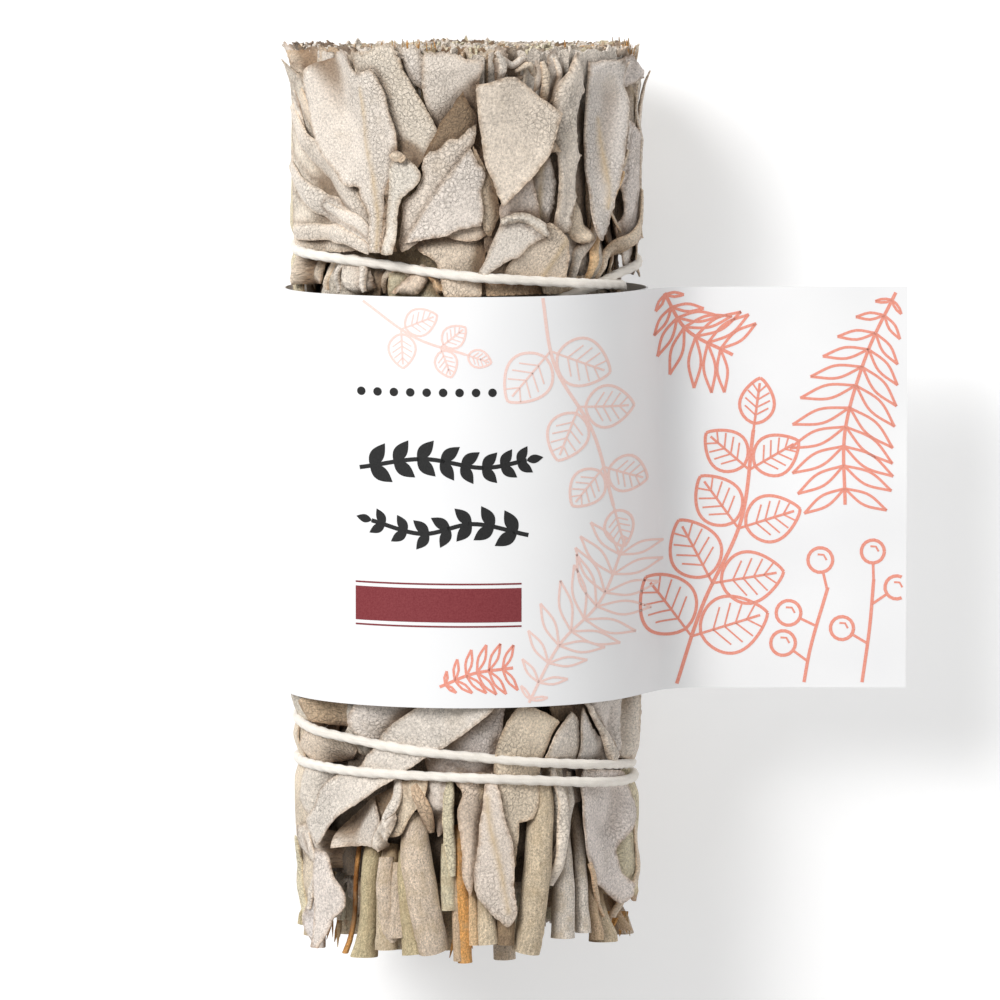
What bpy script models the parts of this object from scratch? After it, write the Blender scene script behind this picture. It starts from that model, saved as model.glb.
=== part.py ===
"""A bundle of dried white sage, lying on its side.

Leafy stems are packed into a cylinder along Y, with the cut leafy end at +Y and the woody
stem ends at -Y. Cotton string is wound round them, and a paper sleeve with a free end
standing out at +X goes round the middle. The sleeve's flat underside rests on Z = 0.

The leaves are laid one after the other, as they are when a bundle is pressed: each one
goes over what is already there, and is joined by its stalk to the leaf or the leafy stem
just under it. Angles round the axis are 0 at the top, and grow towards +X.
"""

import functools
import math
import random
from collections import namedtuple

import bmesh
import bpy
import numpy as np

MM = 0.001

# Driving dimensions, in millimetres
RADIUS = 20.9
AXIS_HEIGHT = 21.4
LEAFY_END = 55.0
SLEEVE_LOW, SLEEVE_HIGH = -22.1, 26.2
SLEEVE_RADIUS = 21.8
PAPER = 0.4
FLAG_REACH = 52.9
FLAG_HEIGHT = 20.5
FLAG_LEAVES_AT = 64.0
FLAG_BEND = 6.0
STRING_THICK = 1.1
LEAF_THICK = 0.6

# How far leaves may stand out in front, at the sides and under the sleeve
FRONT_LIMIT, SIDE_LIMIT = 23.6, 21.9
SLEEVE_LIMIT = SLEEVE_RADIUS - PAPER - 0.2

# How closely the pieces lie
GAP = 0.3
LEAF_GAP = 0.12
STALK_SINK = 0.34
STALK_HALF = 0.5

# The grid on which the laid surface is kept
CELL = 0.4
GRID_LOW = -58.0
N_ROUND = round(2 * math.pi * RADIUS / CELL)
N_ALONG = round(118 / CELL)

# What the camera that took the front view sees lower down where a thing stands nearer
LEAN = 0.086
LEAN_CHANGE = 0.0012

LEAF_COLOUR = (0.50, 0.47, 0.40, 1.0)
STRING_COLOUR = (0.80, 0.76, 0.68, 1.0)
PAPER_COLOUR = (0.88, 0.87, 0.86, 1.0)

rng = random.Random()
CORE_SEED, LEAF_SEED = 11, 23

# Edges of the twelve outer leafy stems round the bundle, in degrees
OUTER_EDGES = (-70, -42.2, -18.2, 2.6, 36, 67, 99, 131, 163, 195, 227, 258)
INNER_EDGES = (8, 66, 127, 185, 249, 307)
OUTER_ROOT, INNER_TOP, INNER_ROOT, HEART_RADIUS = 12.0, 11.6, 5.0, 4.6
# Radius of the core under a first trial laying, which shows how high the leaves pile up
TRIAL_CORE = 16.0

Stem = namedtuple("Stem", "angle thick end lean")
# Woody stems at the lower end: angle, thickness, how far down, lean in degrees
FRONT_STEMS = (
    Stem(-62, 2.6, -52.0, 2),
    Stem(-50.4, 3.4, -53.2, 0),
    Stem(-34.6, 2.8, -52.2, 0),
    Stem(-24.8, 2.8, -51.6, 0),
    Stem(-10.2, 3.7, -51.2, 0),
    Stem(-1.8, 1.9, -53.3, 0),
    Stem(9.6, 3.0, -50.2, 1),
    Stem(25.5, 3.5, -51.0, 1),
    Stem(44.0, 2.9, -50.4, 1),
    Stem(57.0, 2.2, -50.8, 2),
    Stem(76.0, 3.4, -51.2, 0),
    Stem(90.0, 2.8, -51.8, 0),
)

Leaf = namedtuple("Leaf", "name base tip width shape bow form", defaults=("lance", 0.0, 0.0))
# Front leaves, deepest first. base and tip are where they show from the front, in
# millimetres across and along, and width is across the flat leaf. bow is how far the
# middle lies to the side, and form how far the middle (or, if negative, the edges) rises.
TOP_LEAVES = (
    Leaf("left_edge", (-18.0, 27.6), (-20.3, 54.0), 7.0),
    Leaf("left_fan_a", (-13.5, 30.5), (-19.8, 50.5), 4.6, "lance", 1.2, 0.5),
    Leaf("left_fan_b", (-12.6, 30.0), (-20.2, 45.5), 4.2, "lance", 1.5, 0.6),
    Leaf("left_fan_c", (-11.8, 29.5), (-20.4, 41.0), 4.0, "lance", -1.6, 0.6),
    Leaf("left_fan_d", (-11.4, 29.0), (-18.4, 35.6), 3.4, "lance", -1.0, 0.5),
    Leaf("right_edge", (19.8, 28.0), (19.9, 52.0), 6.5),
    Leaf("right_strap", (16.0, 28.5), (16.6, 57.0), 6.2, "strap", 0.6, 0.5),
    Leaf("right_slim", (13.0, 27.0), (13.2, 54.6), 4.4, "lance", -1.0, 0.8),
    Leaf("right_rib", (10.4, 30.0), (10.3, 44.0), 4.2, "lance", 0.4, 0.5),
    Leaf("top_small", (-5.6, 44.0), (-7.4, 56.5), 5.0, "strap"),
    Leaf("top_curl_a", (7.6, 42.0), (6.8, 54.0), 4.0, "strap", 0.0, -0.6),
    Leaf("top_curl_b", (10.6, 43.0), (11.0, 56.5), 4.6, "strap", 0.0, -0.6),
    Leaf("behind_broad", (-5.6, 40.0), (-11.8, 57.0), 8.0, "strap", 0.6),
    Leaf("upper_middle", (-1.2, 42.0), (-1.8, 57.0), 8.0, "strap"),
    Leaf("lower_middle", (0.8, 26.0), (-0.2, 34.6), 7.0, "shard"),
    Leaf("lower_right", (9.0, 25.2), (9.9, 35.2), 8.2, "shard"),
    Leaf("under_shard", (6.4, 31.0), (8.2, 42.0), 5.6),
    Leaf("diagonal_low", (-8.2, 30.2), (-5.4, 44.0), 5.4),
    Leaf("dark_tip", (-5.2, 40.4), (0.4, 50.6), 4.6, "lance", 0.0, 0.3),
    Leaf("diagonal_long", (-7.4, 30.6), (1.0, 46.6), 5.6, "lance", 0.6),
    Leaf("broad", (-10.6, 29.6), (-15.2, 57.5), 10.4, "broad", 0.8, 0.4),
    Leaf("folded_upright", (-8.9, 30.4), (-7.6, 43.0), 3.4, "strap", 0.4, 0.8),
    Leaf("tongue", (2.2, 43.0), (3.5, 32.4), 3.4, "strap", 0.6, 0.3),
    Leaf("shard_left", (1.8, 43.2), (-6.4, 31.0), 7.4, "shard", 0.6),
    Leaf("rolled_low", (2.0, 27.2), (9.2, 32.6), 4.2, "strap", 0.8, 0.7),
    Leaf("shard_right", (4.4, 35.6), (5.0, 52.0), 10.6, "shard", -0.8, 0.3),
    Leaf("small_curl", (16.4, 29.4), (13.4, 37.0), 3.2, "lance", 0.4, 0.6),
)
LOW_LEAVES = (
    Leaf("left_edge_low", (-19.6, -21.0), (-20.2, -38.0), 6.0),
    Leaf("right_edge_low", (19.9, -21.0), (20.0, -44.0), 6.0),
    Leaf("left_green", (-19.8, -39.0), (-19.9, -50.8), 3.4, "lance", 0.4, 0.5),
    Leaf("left_pair", (-17.6, -42.0), (-18.6, -53.2), 3.2, "lance", 0.4, 0.5),
    Leaf("left_grey", (-16.6, -41.0), (-17.4, -53.0), 4.0, "lance", -0.5, 0.3),
    Leaf("flap", (-13.6, -35.0), (-13.4, -41.6), 6.6, "strap", 0.0, 0.3),
    Leaf("pointed", (-9.6, -34.0), (-10.6, -42.2), 3.6, "lance", 0.4, 0.5),
    Leaf("hanging_roll", (-9.6, -41.0), (-7.9, -53.0), 3.4, "strap", 0.0, 0.5),
    Leaf("fold_a", (-6.2, -31.0), (-9.8, -39.4), 4.4, "strap", 0.5, 0.6),
    Leaf("fold_b", (-3.4, -31.5), (-2.4, -40.0), 4.4, "strap", 0.0, 0.3),
    Leaf("upright_low", (-13.0, -32.0), (-13.6, -22.0), 3.0, "strap", 0.3, 0.7),
    Leaf("hanging_left", (0.4, -30.0), (1.2, -46.0), 4.4, "lance", 0.0, 0.6),
    Leaf("hanging_wide", (8.4, -25.0), (6.6, -43.8), 7.6, "broad", 0.6, 0.3),
    Leaf("hanging_tip", (3.0, -30.6), (4.8, -50.6), 5.0, "lance", -0.6, 0.5),
    Leaf("cross_a", (11.0, -31.0), (12.6, -43.0), 3.4, "lance", 0.8, 0.6),
    Leaf("cross_b", (15.0, -31.4), (11.2, -49.4), 3.0, "lance", 0.6, 0.6),
    Leaf("slim_right", (14.6, -40.0), (14.9, -51.0), 2.8, "strap", 0.4, 0.4),
    Leaf("veined_tip", (17.4, -30.0), (18.4, -47.4), 6.6, "lance", -0.6, 0.3),
    Leaf("right_fold", (18.8, -31.0), (14.2, -22.0), 5.6, "lance", 0.8, 0.5),
    Leaf("veined_top", (16.0, -33.0), (13.8, -23.6), 5.0, "lance", -0.4, 0.3),
    Leaf("pear", (11.8, -33.0), (12.9, -24.8), 4.4, "lance", 0.0, 0.5),
    Leaf("brown_top", (6.8, -33.2), (8.8, -24.0), 8.0, "shard", 0.4, 0.3),
    Leaf("textured", (-2.4, -30.0), (4.4, -23.2), 5.2, "shard", 0.0, 0.3),
    Leaf("pale_top", (-13.4, -32.0), (-5.6, -22.4), 6.2, "lance", 0.8),
    Leaf("pale_long", (4.0, -25.2), (-18.2, -40.2), 6.4, "lance", 1.0, 0.3),
)

# Outlines: how far along, and the left and right half widths as shares of the half width
SHAPES = {
    "lance": ((0, 0.2, 0.2), (0.2, 0.45, 0.45), (0.5, 1, 1), (0.8, 0.75, 0.75), (1, 0.12, 0.12)),
    "broad": ((0, 0.16, 0.16), (0.22, 0.3, 0.3), (0.5, 0.95, 0.95), (0.8, 1, 1), (1, 0.75, 0.75)),
    "strap": ((0, 0.45, 0.45), (0.3, 0.8, 0.8), (0.6, 1, 1), (0.9, 1, 1), (1, 0.8, 0.8)),
    "shard": ((0, 0.2, 0.2), (0.35, 0.7, 0.6), (0.65, 1, 1), (0.85, 0.8, 1), (1, 0.3, 0.55)),
}
LEAF_ROWS = 4
LEAF_COLUMNS = (-1.0, 0.0, 1.0)

# The string's way: angle round the axis, which goes on growing, and place along it
STRING_WAY = (
    (128, -31.6), (138, -29.2), (158, -25.6), (190, -22.0), (225, -18.5), (270, -14.5), (400, -6.0),
    (540, 5.0),
    (680, 17.5), (768, 26.6), (812, 29.2), (900, 31.8), (990, 31.3), (1035, 30.2), (1080, 28.6),
    (1125, 27.4), (1170, 26.2), (1240, 22.0), (1400, 5.0), (1560, -11.0), (1660, -21.0),
    (1710, -25.0), (1755, -26.4), (1800, -28.0), (1845, -29.6), (1890, -31.0), (1980, -31.2),
    (2070, -30.3), (2160, -30.5), (2250, -32.6), (2283, -32.4),
)
KNOT = (125.5, -32.2)
TAILS = (((124, -32.6), (117, -35.2), (112, -38.6)), ((127, -31.8), (132, -34.6), (131, -38.0)))
STRING_STEP = 14.0


def clear_scene():
    for obj in list(bpy.data.objects):
        bpy.data.objects.remove(obj)


def material(name, colour, roughness):
    made = bpy.data.materials.new(name)
    made.use_nodes = True
    shader = made.node_tree.nodes["Principled BSDF"]
    shader.inputs["Base Color"].default_value = colour
    shader.inputs["Roughness"].default_value = roughness
    shader.inputs["Metallic"].default_value = 0.0
    return made


def wrap(angle):
    """The angle in degrees, from -180 to 180."""
    return (angle + 180.0) % 360.0 - 180.0


def smooth_step(x):
    x = np.clip(x, 0.0, 1.0)
    return x * x * (3 - 2 * x)


def point(angle, along, level):
    """The place of a height level over the axis, in the axis's own frame, in millimetres."""
    turn = np.radians(angle)
    return np.stack([level * np.sin(turn), along + 0 * turn, level * np.cos(turn)], -1)


def angle_and_level(places):
    return np.degrees(np.arctan2(places[..., 0], places[..., 2])), np.hypot(places[..., 0], places[..., 2])


def seen_from_front(across, along):
    """Angle and place along the axis of what shows at a place on the front."""
    share = max(-0.985, min(0.985, across / RADIUS))
    angle = math.degrees(math.asin(share))
    depth = RADIUS * math.cos(math.radians(angle))
    return angle, along + (LEAN - LEAN_CHANGE * along) * depth


class Surface:
    """How far from the axis the laid surface is, and whose it is, on a grid round and along.

    It starts from the level that leaves keep where they stand out past the ends.
    """

    def __init__(self, start):
        self.level = start.copy()
        self.owner = np.full((N_ROUND, N_ALONG), -1)

    @staticmethod
    def cells(angle, along):
        turn = np.round(np.asarray(angle) / 360.0 * N_ROUND).astype(int) % N_ROUND
        step = np.round((np.asarray(along) - GRID_LOW) / CELL).astype(int)
        return turn, np.clip(step, 1, N_ALONG - 2)

    def around(self, angle, along, reach=1):
        """The highest level within reach cells."""
        turn, step = self.cells(angle, along)
        found = np.zeros(np.shape(turn))
        for i in range(-reach, reach + 1):
            for j in range(-reach, reach + 1):
                there = self.level[(turn + i) % N_ROUND, np.clip(step + j, 0, N_ALONG - 1)]
                found = np.maximum(found, there)
        return found

    def lay(self, places, owner):
        angle, level = angle_and_level(places)
        turn, step = self.cells(angle, places[..., 1])
        turn, step, level = turn.ravel(), step.ravel(), level.ravel()
        order = np.argsort(level)
        turn, step, level = turn[order], step[order], level[order]
        higher = level > self.level[turn, step]
        self.owner[turn[higher], step[higher]] = owner
        np.maximum.at(self.level, (turn, step), level)


def triangle_shares(n):
    shares = [(i / n, j / n, 1 - (i + j) / n) for i in range(n + 1) for j in range(n + 1 - i)]
    return np.array(shares)


FINE, COARSE = triangle_shares(40), triangle_shares(16)


def spread(corners, shares):
    """Points all over triangles, whose corners are given as (triangle, corner, xyz)."""
    return np.einsum("sk,tkx->tsx", shares, corners)


def grid_triangles(rows, columns):
    """Corner numbers of the triangles of a grid of points, facing out from the axis."""
    found = []
    for i in range(rows - 1):
        for j in range(columns - 1):
            a, b = i * columns + j, i * columns + j + 1
            c, d = b + columns, a + columns
            found += [(a, b, c), (a, c, d)]
    return np.array(found)


def half_widths(shape, share):
    table = np.array(SHAPES[shape], float)
    return np.interp(share, table[:, 0], table[:, 1]), np.interp(share, table[:, 0], table[:, 2])


def leaf_plan(base, tip, leaf):
    """The leaf's rows and columns on the unrolled surface: angle and place along."""
    to_length = math.radians(1.0) * RADIUS
    start = np.array([base[0] * to_length, base[1]])
    way = np.array([tip[0] * to_length, tip[1]]) - start
    side = np.array([way[1], -way[0]]) / np.hypot(*way)

    def place(share, column):
        left, right = half_widths(leaf.shape, share)
        reach = leaf.width / 2 * (-left if column < 0 else right) * abs(column)
        return start + way * share + side * (reach + leaf.bow * 4 * share * (1 - share))

    plan = np.zeros((LEAF_ROWS + 1, len(LEAF_COLUMNS), 2))
    for j, column in enumerate(LEAF_COLUMNS):
        cut = LEAFY_END + rng.uniform(-0.5, 0.1)
        shares = np.linspace(0, 1, 60)
        inside = [share for share in shares if place(share, column)[1] <= cut]
        last = inside[-1] if inside and way[1] > 0 else 1.0
        for i in range(LEAF_ROWS + 1):
            plan[i, j] = place(last * i / LEAF_ROWS, column)
    plan[..., 0] /= to_length
    return plan


def raised_clear(surface, plan, level, faces):
    """Raises a leaf's underside until all of it is clear of what is already laid."""
    share = COARSE / (COARSE**2).sum(axis=1, keepdims=True)
    for _ in range(6):
        corners = point(plan[..., 0], plan[..., 1], level).reshape(-1, 3)
        places = spread(corners[faces], COARSE)
        angle, height = angle_and_level(places)
        short = np.maximum(surface.around(angle, places[..., 1]) + LEAF_GAP - height, 0.0)
        if short.max() < 0.01:
            break
        rise = np.zeros(level.size)
        np.maximum.at(rise, faces, (short[..., None] * share[None]).max(axis=1))
        level = level + rise.reshape(level.shape)
    return level


def stalk_place(surface, plan, level):
    """Where a leaf can be joined to a single owner just under it, or None."""
    best = None
    for share in np.linspace(0.06, 0.8, 30):
        at = share * LEAF_ROWS
        i = min(int(at), LEAF_ROWS - 1)
        for column, aside in ((1, 0.0), (0, 0.5), (1, 0.5)):
            corner = [(1 - at + i) * (1 - aside), (1 - at + i) * aside, (at - i) * (1 - aside), (at - i) * aside]
            cells = [(i, column), (i, column + 1 if aside else column), (i + 1, column)]
            cells.append((i + 1, column + 1 if aside else column))
            angle = sum(w * plan[cell][0] for w, cell in zip(corner, cells))
            along = sum(w * plan[cell][1] for w, cell in zip(corner, cells))
            over = sum(w * level[cell] for w, cell in zip(corner, cells))
            turn, step = surface.cells(angle, along)
            near = [((turn + a) % N_ROUND, step + b) for a in range(-2, 3) for b in range(-2, 3)]
            owners = {int(surface.owner[cell]) for cell in near}
            levels = [surface.level[cell] for cell in near]
            if len(owners) > 1 or -1 in owners or max(levels) - min(levels) > 0.5:
                continue
            gap = over - max(levels)
            if best is None or gap + share < best[0]:
                best = (gap + share, angle, along, min(levels), over, owners.pop())
    return best and best[1:]


def smooth_way(knots, step):
    """Points on a smooth curve through the knots, evenly spaced in angle (monotone cubic)."""
    x, y = np.array(knots, float).T
    slope = np.diff(y) / np.diff(x)
    tangent = np.concatenate([[slope[0]], (slope[1:] + slope[:-1]) / 2, [slope[-1]]])
    turning = slope[1:] * slope[:-1] <= 0
    tangent[1:-1][turning] = 0.0
    at = np.arange(x[0], x[-1] + step / 2, step)
    k = np.clip(np.searchsorted(x, at, "right") - 1, 0, len(x) - 2)
    h = x[k + 1] - x[k]
    t = (at - x[k]) / h
    cubic = (
        (2 * t**3 - 3 * t**2 + 1) * y[k] + (t**3 - 2 * t**2 + t) * h * tangent[k]
        + (3 * t**2 - 2 * t**3) * y[k + 1] + (t**3 - t**2) * h * tangent[k + 1]
    )
    return at, cubic


@functools.cache
def string_room():
    """Grid cells that the string passes over, or nearly."""
    room = np.zeros((N_ROUND, N_ALONG))
    room[Surface.cells(*smooth_way(STRING_WAY, 0.7))] = 1.0
    return highest(room, 5) > 0


def highest(values, reach):
    """The highest value within reach cells, round and along."""
    for axis in (0, 1):
        values = np.max([np.roll(values, i, axis) for i in range(-reach, reach + 1)], axis=0)
    return values


def floor_distance(angle):
    """How far the floor is from the axis, straight out at an angle."""
    return AXIS_HEIGHT / np.maximum(-np.cos(np.radians(angle)), 0.3)


def stands_out(plan, level, faces):
    """Whether a leaf would stand out of the bundle too far, or through the sleeve."""
    places = spread(point(plan[..., 0], plan[..., 1], level + LEAF_THICK).reshape(-1, 3)[faces], COARSE)
    angle, top = angle_and_level(places)
    limits = np.interp(np.abs(angle), (60, 75), (FRONT_LIMIT, SIDE_LIMIT))
    held = (places[..., 1] > SLEEVE_LOW - 0.3) & (places[..., 1] < SLEEVE_HIGH + 0.3)
    limits = np.where(held, SLEEVE_LIMIT, limits)
    to_floor = floor_distance(angle)
    room = np.where(string_room()[Surface.cells(angle, places[..., 1])], STRING_THICK + 0.4, 0.0)
    limits = np.minimum(np.where(held, limits - room, limits), to_floor - 0.2 - room)
    return bool((top > limits).any())


def lay_leaf(surface, pieces, base, tip, leaf, limited):
    """Lays one leaf over the surface and adds its blade and stalk to its owner's pieces.

    A leaf that can't be joined or, if limited, would stand out too far, is left out.
    """
    plan = leaf_plan(base, tip, leaf)
    faces = grid_triangles(*plan.shape[:2])
    level = surface.around(plan[..., 0], plan[..., 1]) + LEAF_GAP
    level[:, 1] += 0.5 * max(leaf.form, 0.0) * np.sin(np.linspace(0.3, 2.6, LEAF_ROWS + 1))
    level[:, [0, -1]] += 0.5 * max(-leaf.form, 0.0)
    level = raised_clear(surface, plan, level, faces)
    joint = stalk_place(surface, plan, level)
    if joint is None or (limited and stands_out(plan, level, faces)):
        return
    angle, along, under, over, owner = joint
    bottom = point(plan[..., 0], plan[..., 1], level).reshape(-1, 3)
    top = point(plan[..., 0], plan[..., 1], level + LEAF_THICK).reshape(-1, 3)
    surface.lay(spread(top[faces], FINE), owner)
    pieces[owner].append(slab(bottom, top, plan.shape[:2]))
    half = math.degrees(STALK_HALF / RADIUS)
    corners = [(angle - half, along - STALK_HALF), (angle - half, along + STALK_HALF),
               (angle + half, along + STALK_HALF), (angle + half, along - STALK_HALF)]
    pieces[owner].append(post(corners, under - STALK_SINK, over + 0.5 * LEAF_THICK))


def slab(bottom, top, shape):
    """A closed blade between two like grids of points."""
    rows, columns = shape
    n = rows * columns
    faces = [tuple(face + n) for face in grid_triangles(rows, columns)]
    faces += [tuple(face[::-1]) for face in grid_triangles(rows, columns)]
    rim = [j for j in range(columns)] + [i * columns + columns - 1 for i in range(1, rows)]
    rim += [(rows - 1) * columns + j for j in range(columns - 2, -1, -1)]
    rim += [i * columns for i in range(rows - 2, 0, -1)]
    for a, b in zip(rim, rim[1:] + rim[:1]):
        faces += [(a, b, b + n), (a, b + n, a + n)]
    return np.concatenate([bottom, top]), faces


def post(corners, low, high):
    """A closed four-sided post that stands out from the axis between two levels."""
    angle, along = np.array(corners, float).T
    places = np.concatenate([point(angle, along, low), point(angle, along, high)])
    faces = [(3, 2, 1, 0), (4, 5, 6, 7)]
    faces += [(i, (i + 1) % 4, (i + 1) % 4 + 4, i + 4) for i in range(4)]
    return places, faces


def tube(path, thick, sides):
    """A closed round rod along points in the axis's frame. Each end is a flat cap."""
    path = np.asarray(path, float)
    thick = np.broadcast_to(thick, len(path))
    places = []
    for i, middle in enumerate(path):
        way = path[min(i + 1, len(path) - 1)] - path[max(i - 1, 0)]
        way /= np.linalg.norm(way)
        out = middle * np.array([1, 0, 1]) + np.array([1e-6, 0, 0])
        out -= way * out.dot(way)
        out /= np.linalg.norm(out)
        across = np.cross(way, out)
        for k in range(sides):
            turn = 2 * math.pi * k / sides
            places.append(middle + thick[i] / 2 * (math.cos(turn) * out + math.sin(turn) * across))
    faces = []
    for i in range(len(path) - 1):
        for k in range(sides):
            a, b = i * sides + k, i * sides + (k + 1) % sides
            faces.append((a, b, b + sides, a + sides))
    faces.append(tuple(range(sides))[::-1])
    faces.append(tuple(range((len(path) - 1) * sides, len(path) * sides)))
    return np.array(places), faces


def wedge(edges, root, levels, stations):
    """A closed wedge of pressed leaves. levels(angles, along) gives its outer radius."""
    low, high = edges
    inset_out = math.degrees(GAP / 2 / 17.0)
    inset_in = math.degrees(GAP / 2 / root)
    outer = np.linspace(low + inset_out, high - inset_out, max(3, round((high - low) / 8)))
    inner = np.linspace(high - inset_in, low + inset_in, 3)
    rings = []
    for along in stations:
        rings.append(np.concatenate([point(outer, along, levels(outer, along)), point(inner, along, root)]))
    count = len(outer) + len(inner)
    faces, skin = [], []
    for i in range(len(stations) - 1):
        for k in range(count):
            a, b = i * count + k, i * count + (k + 1) % count
            if k < len(outer) - 1:
                skin += [(a, b, b + count), (a, b + count, a + count)]
            else:
                faces.append((a, b, b + count, a + count))
    faces.append(tuple(range(count))[::-1])
    faces.append(tuple(range((len(stations) - 1) * count, len(stations) * count)))
    return (np.concatenate(rings), faces + skin), np.array(skin)


def end_blade(edges, level, low, high):
    """A leaf end that stands on edge, bent along the wedge, between two places along."""
    angles = np.linspace(edges[0], edges[1], 4)
    wave = np.array([rng.uniform(-0.25, 0.25) for _ in angles])
    rim = np.array([rng.uniform(-0.5, 0.0) for _ in angles])
    grids = []
    for out in (-LEAF_THICK / 2, LEAF_THICK / 2):
        foot = point(angles, low + 0 * angles, level + wave + out)
        edge = point(angles, high + rim, level + wave + out)
        grids.append(np.stack([foot, edge], 1).reshape(-1, 3))
    return slab(grids[0], grids[1], (len(angles), 2))


def stem_path(stem):
    """A woody stem's way, from its cut end at the surface to inside the bundle."""
    reach = RADIUS - 0.5 - stem.thick / 2
    deepest = reach - stem.thick / 2 - OUTER_ROOT - 0.5
    ways = ((0.0, 0.2), (5.0, 1.0), (10.0, 2.6), (17.0, 5.0), (30.0, 6.5))
    return [
        point(stem.angle + stem.lean * up / 26.0, stem.end + up, reach - min(sink, deepest))
        for up, sink in ways
    ]


def back_stems():
    found = []
    for k, edges in enumerate(zip(OUTER_EDGES, OUTER_EDGES[1:] + (OUTER_EDGES[0] + 360,))):
        if k < 6:
            continue
        for share in (0.3, 0.7):
            angle = edges[0] + share * (edges[1] - edges[0])
            if angle < 98:
                continue
            found.append(Stem(angle, rng.uniform(2.4, 3.2), rng.uniform(-52.6, -50.2), rng.uniform(-1, 1)))
    return found


def owner_of(angle):
    """Which outer leafy stem an angle lies in."""
    for k, low in enumerate(OUTER_EDGES):
        high = OUTER_EDGES[k + 1] if k + 1 < len(OUTER_EDGES) else OUTER_EDGES[0] + 360
        if low <= angle < high or low <= angle + 360 < high or low <= angle - 360 < high:
            return k
    raise ValueError(angle)


def under_layer():
    """Broad leaves all round, below the ones that show."""
    for k in range(13):
        angle = k * 360 / 13 + rng.uniform(-1, 1)
        yield (angle, rng.uniform(20, 24)), (angle + rng.uniform(-1, 1), 58.0), Leaf(
            "under", None, None, rng.uniform(8.0, 8.8), "strap", rng.uniform(-0.2, 0.2)
        )
    for k in range(12):
        angle = k * 360 / 12 + rng.uniform(-1, 1)
        yield (angle, rng.uniform(-21, -17)), (angle + rng.uniform(-1, 1), rng.uniform(-43, -37)), Leaf(
            "under", None, None, rng.uniform(8.0, 9.0), "lance", rng.uniform(-0.2, 0.2)
        )


def back_layer():
    """Leaves over the sides and the back, which the front view doesn't show."""
    for k in range(13):
        angle = 92 + k * 176 / 12 + rng.uniform(-3, 3)
        turned = rng.uniform(-16, 16)
        if k % 3 == 2:
            start, end = (angle, rng.uniform(40, 46)), (angle + 1.6 * turned, rng.uniform(28, 34))
        else:
            start, end = (angle, rng.uniform(26, 33)), (angle + turned, rng.choice((58.0, 50.0, 45.0)))
        yield start, end, Leaf(
            "back", None, None, rng.uniform(5.5, 9.5), rng.choice(("lance", "broad", "shard")),
            rng.uniform(-1, 1), rng.choice((0.0, 0.4, 0.6))
        )
    for k in range(12):
        angle = 94 + k * 172 / 11 + rng.uniform(-3, 3)
        turned = rng.uniform(-16, 16)
        if k % 4 == 3:
            start, end = (angle, rng.uniform(-36, -33)), (angle + 1.5 * turned, rng.uniform(-25, -23))
        else:
            start, end = (angle, rng.uniform(-32, -24)), (angle + turned, rng.uniform(-49, -40))
        yield start, end, Leaf(
            "back", None, None, rng.uniform(4.0, 7.5), rng.choice(("lance", "lance", "strap", "shard")),
            rng.uniform(-1, 1), rng.choice((0.3, 0.5, 0.6))
        )


def front_layer(leaves):
    for leaf in leaves:
        yield seen_from_front(*leaf.base), seen_from_front(*leaf.tip), leaf


def wanted_radius():
    """Where the leafy surface ought to be, on the grid: full in the open, slim in the sleeve.

    It is lower underneath, where the bundle is pressed on the floor, most of all where the
    string goes round.
    """
    angle = np.degrees(2 * math.pi * np.arange(N_ROUND) / N_ROUND)[:, None]
    along = (GRID_LOW + CELL * np.arange(N_ALONG))[None, :]
    inside = smooth_step((np.minimum(along - SLEEVE_LOW, SLEEVE_HIGH - along) + 1.5) / 4.0)
    beneath = smooth_step((34 - np.abs(wrap(angle - 180))) / 20)
    outside = np.maximum(along - SLEEVE_HIGH, SLEEVE_LOW - along)
    bound = smooth_step(outside / 2) * smooth_step((14 - outside) / 4)
    return RADIUS - 0.15 - 2.2 * inside - beneath * (0.4 + 1.7 * bound) - 0.2 * bound


def eased(values, reach):
    """A soft average over the grid, round and along."""
    for _ in range(3):
        total = sum(np.roll(values, i, 0) for i in range(-reach, reach + 1)) / (2 * reach + 1)
        padded = np.pad(total, ((0, 0), (reach, reach)), "edge")
        values = sum(padded[:, i : i + N_ALONG] for i in range(2 * reach + 1)) / (2 * reach + 1)
    return values


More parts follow.
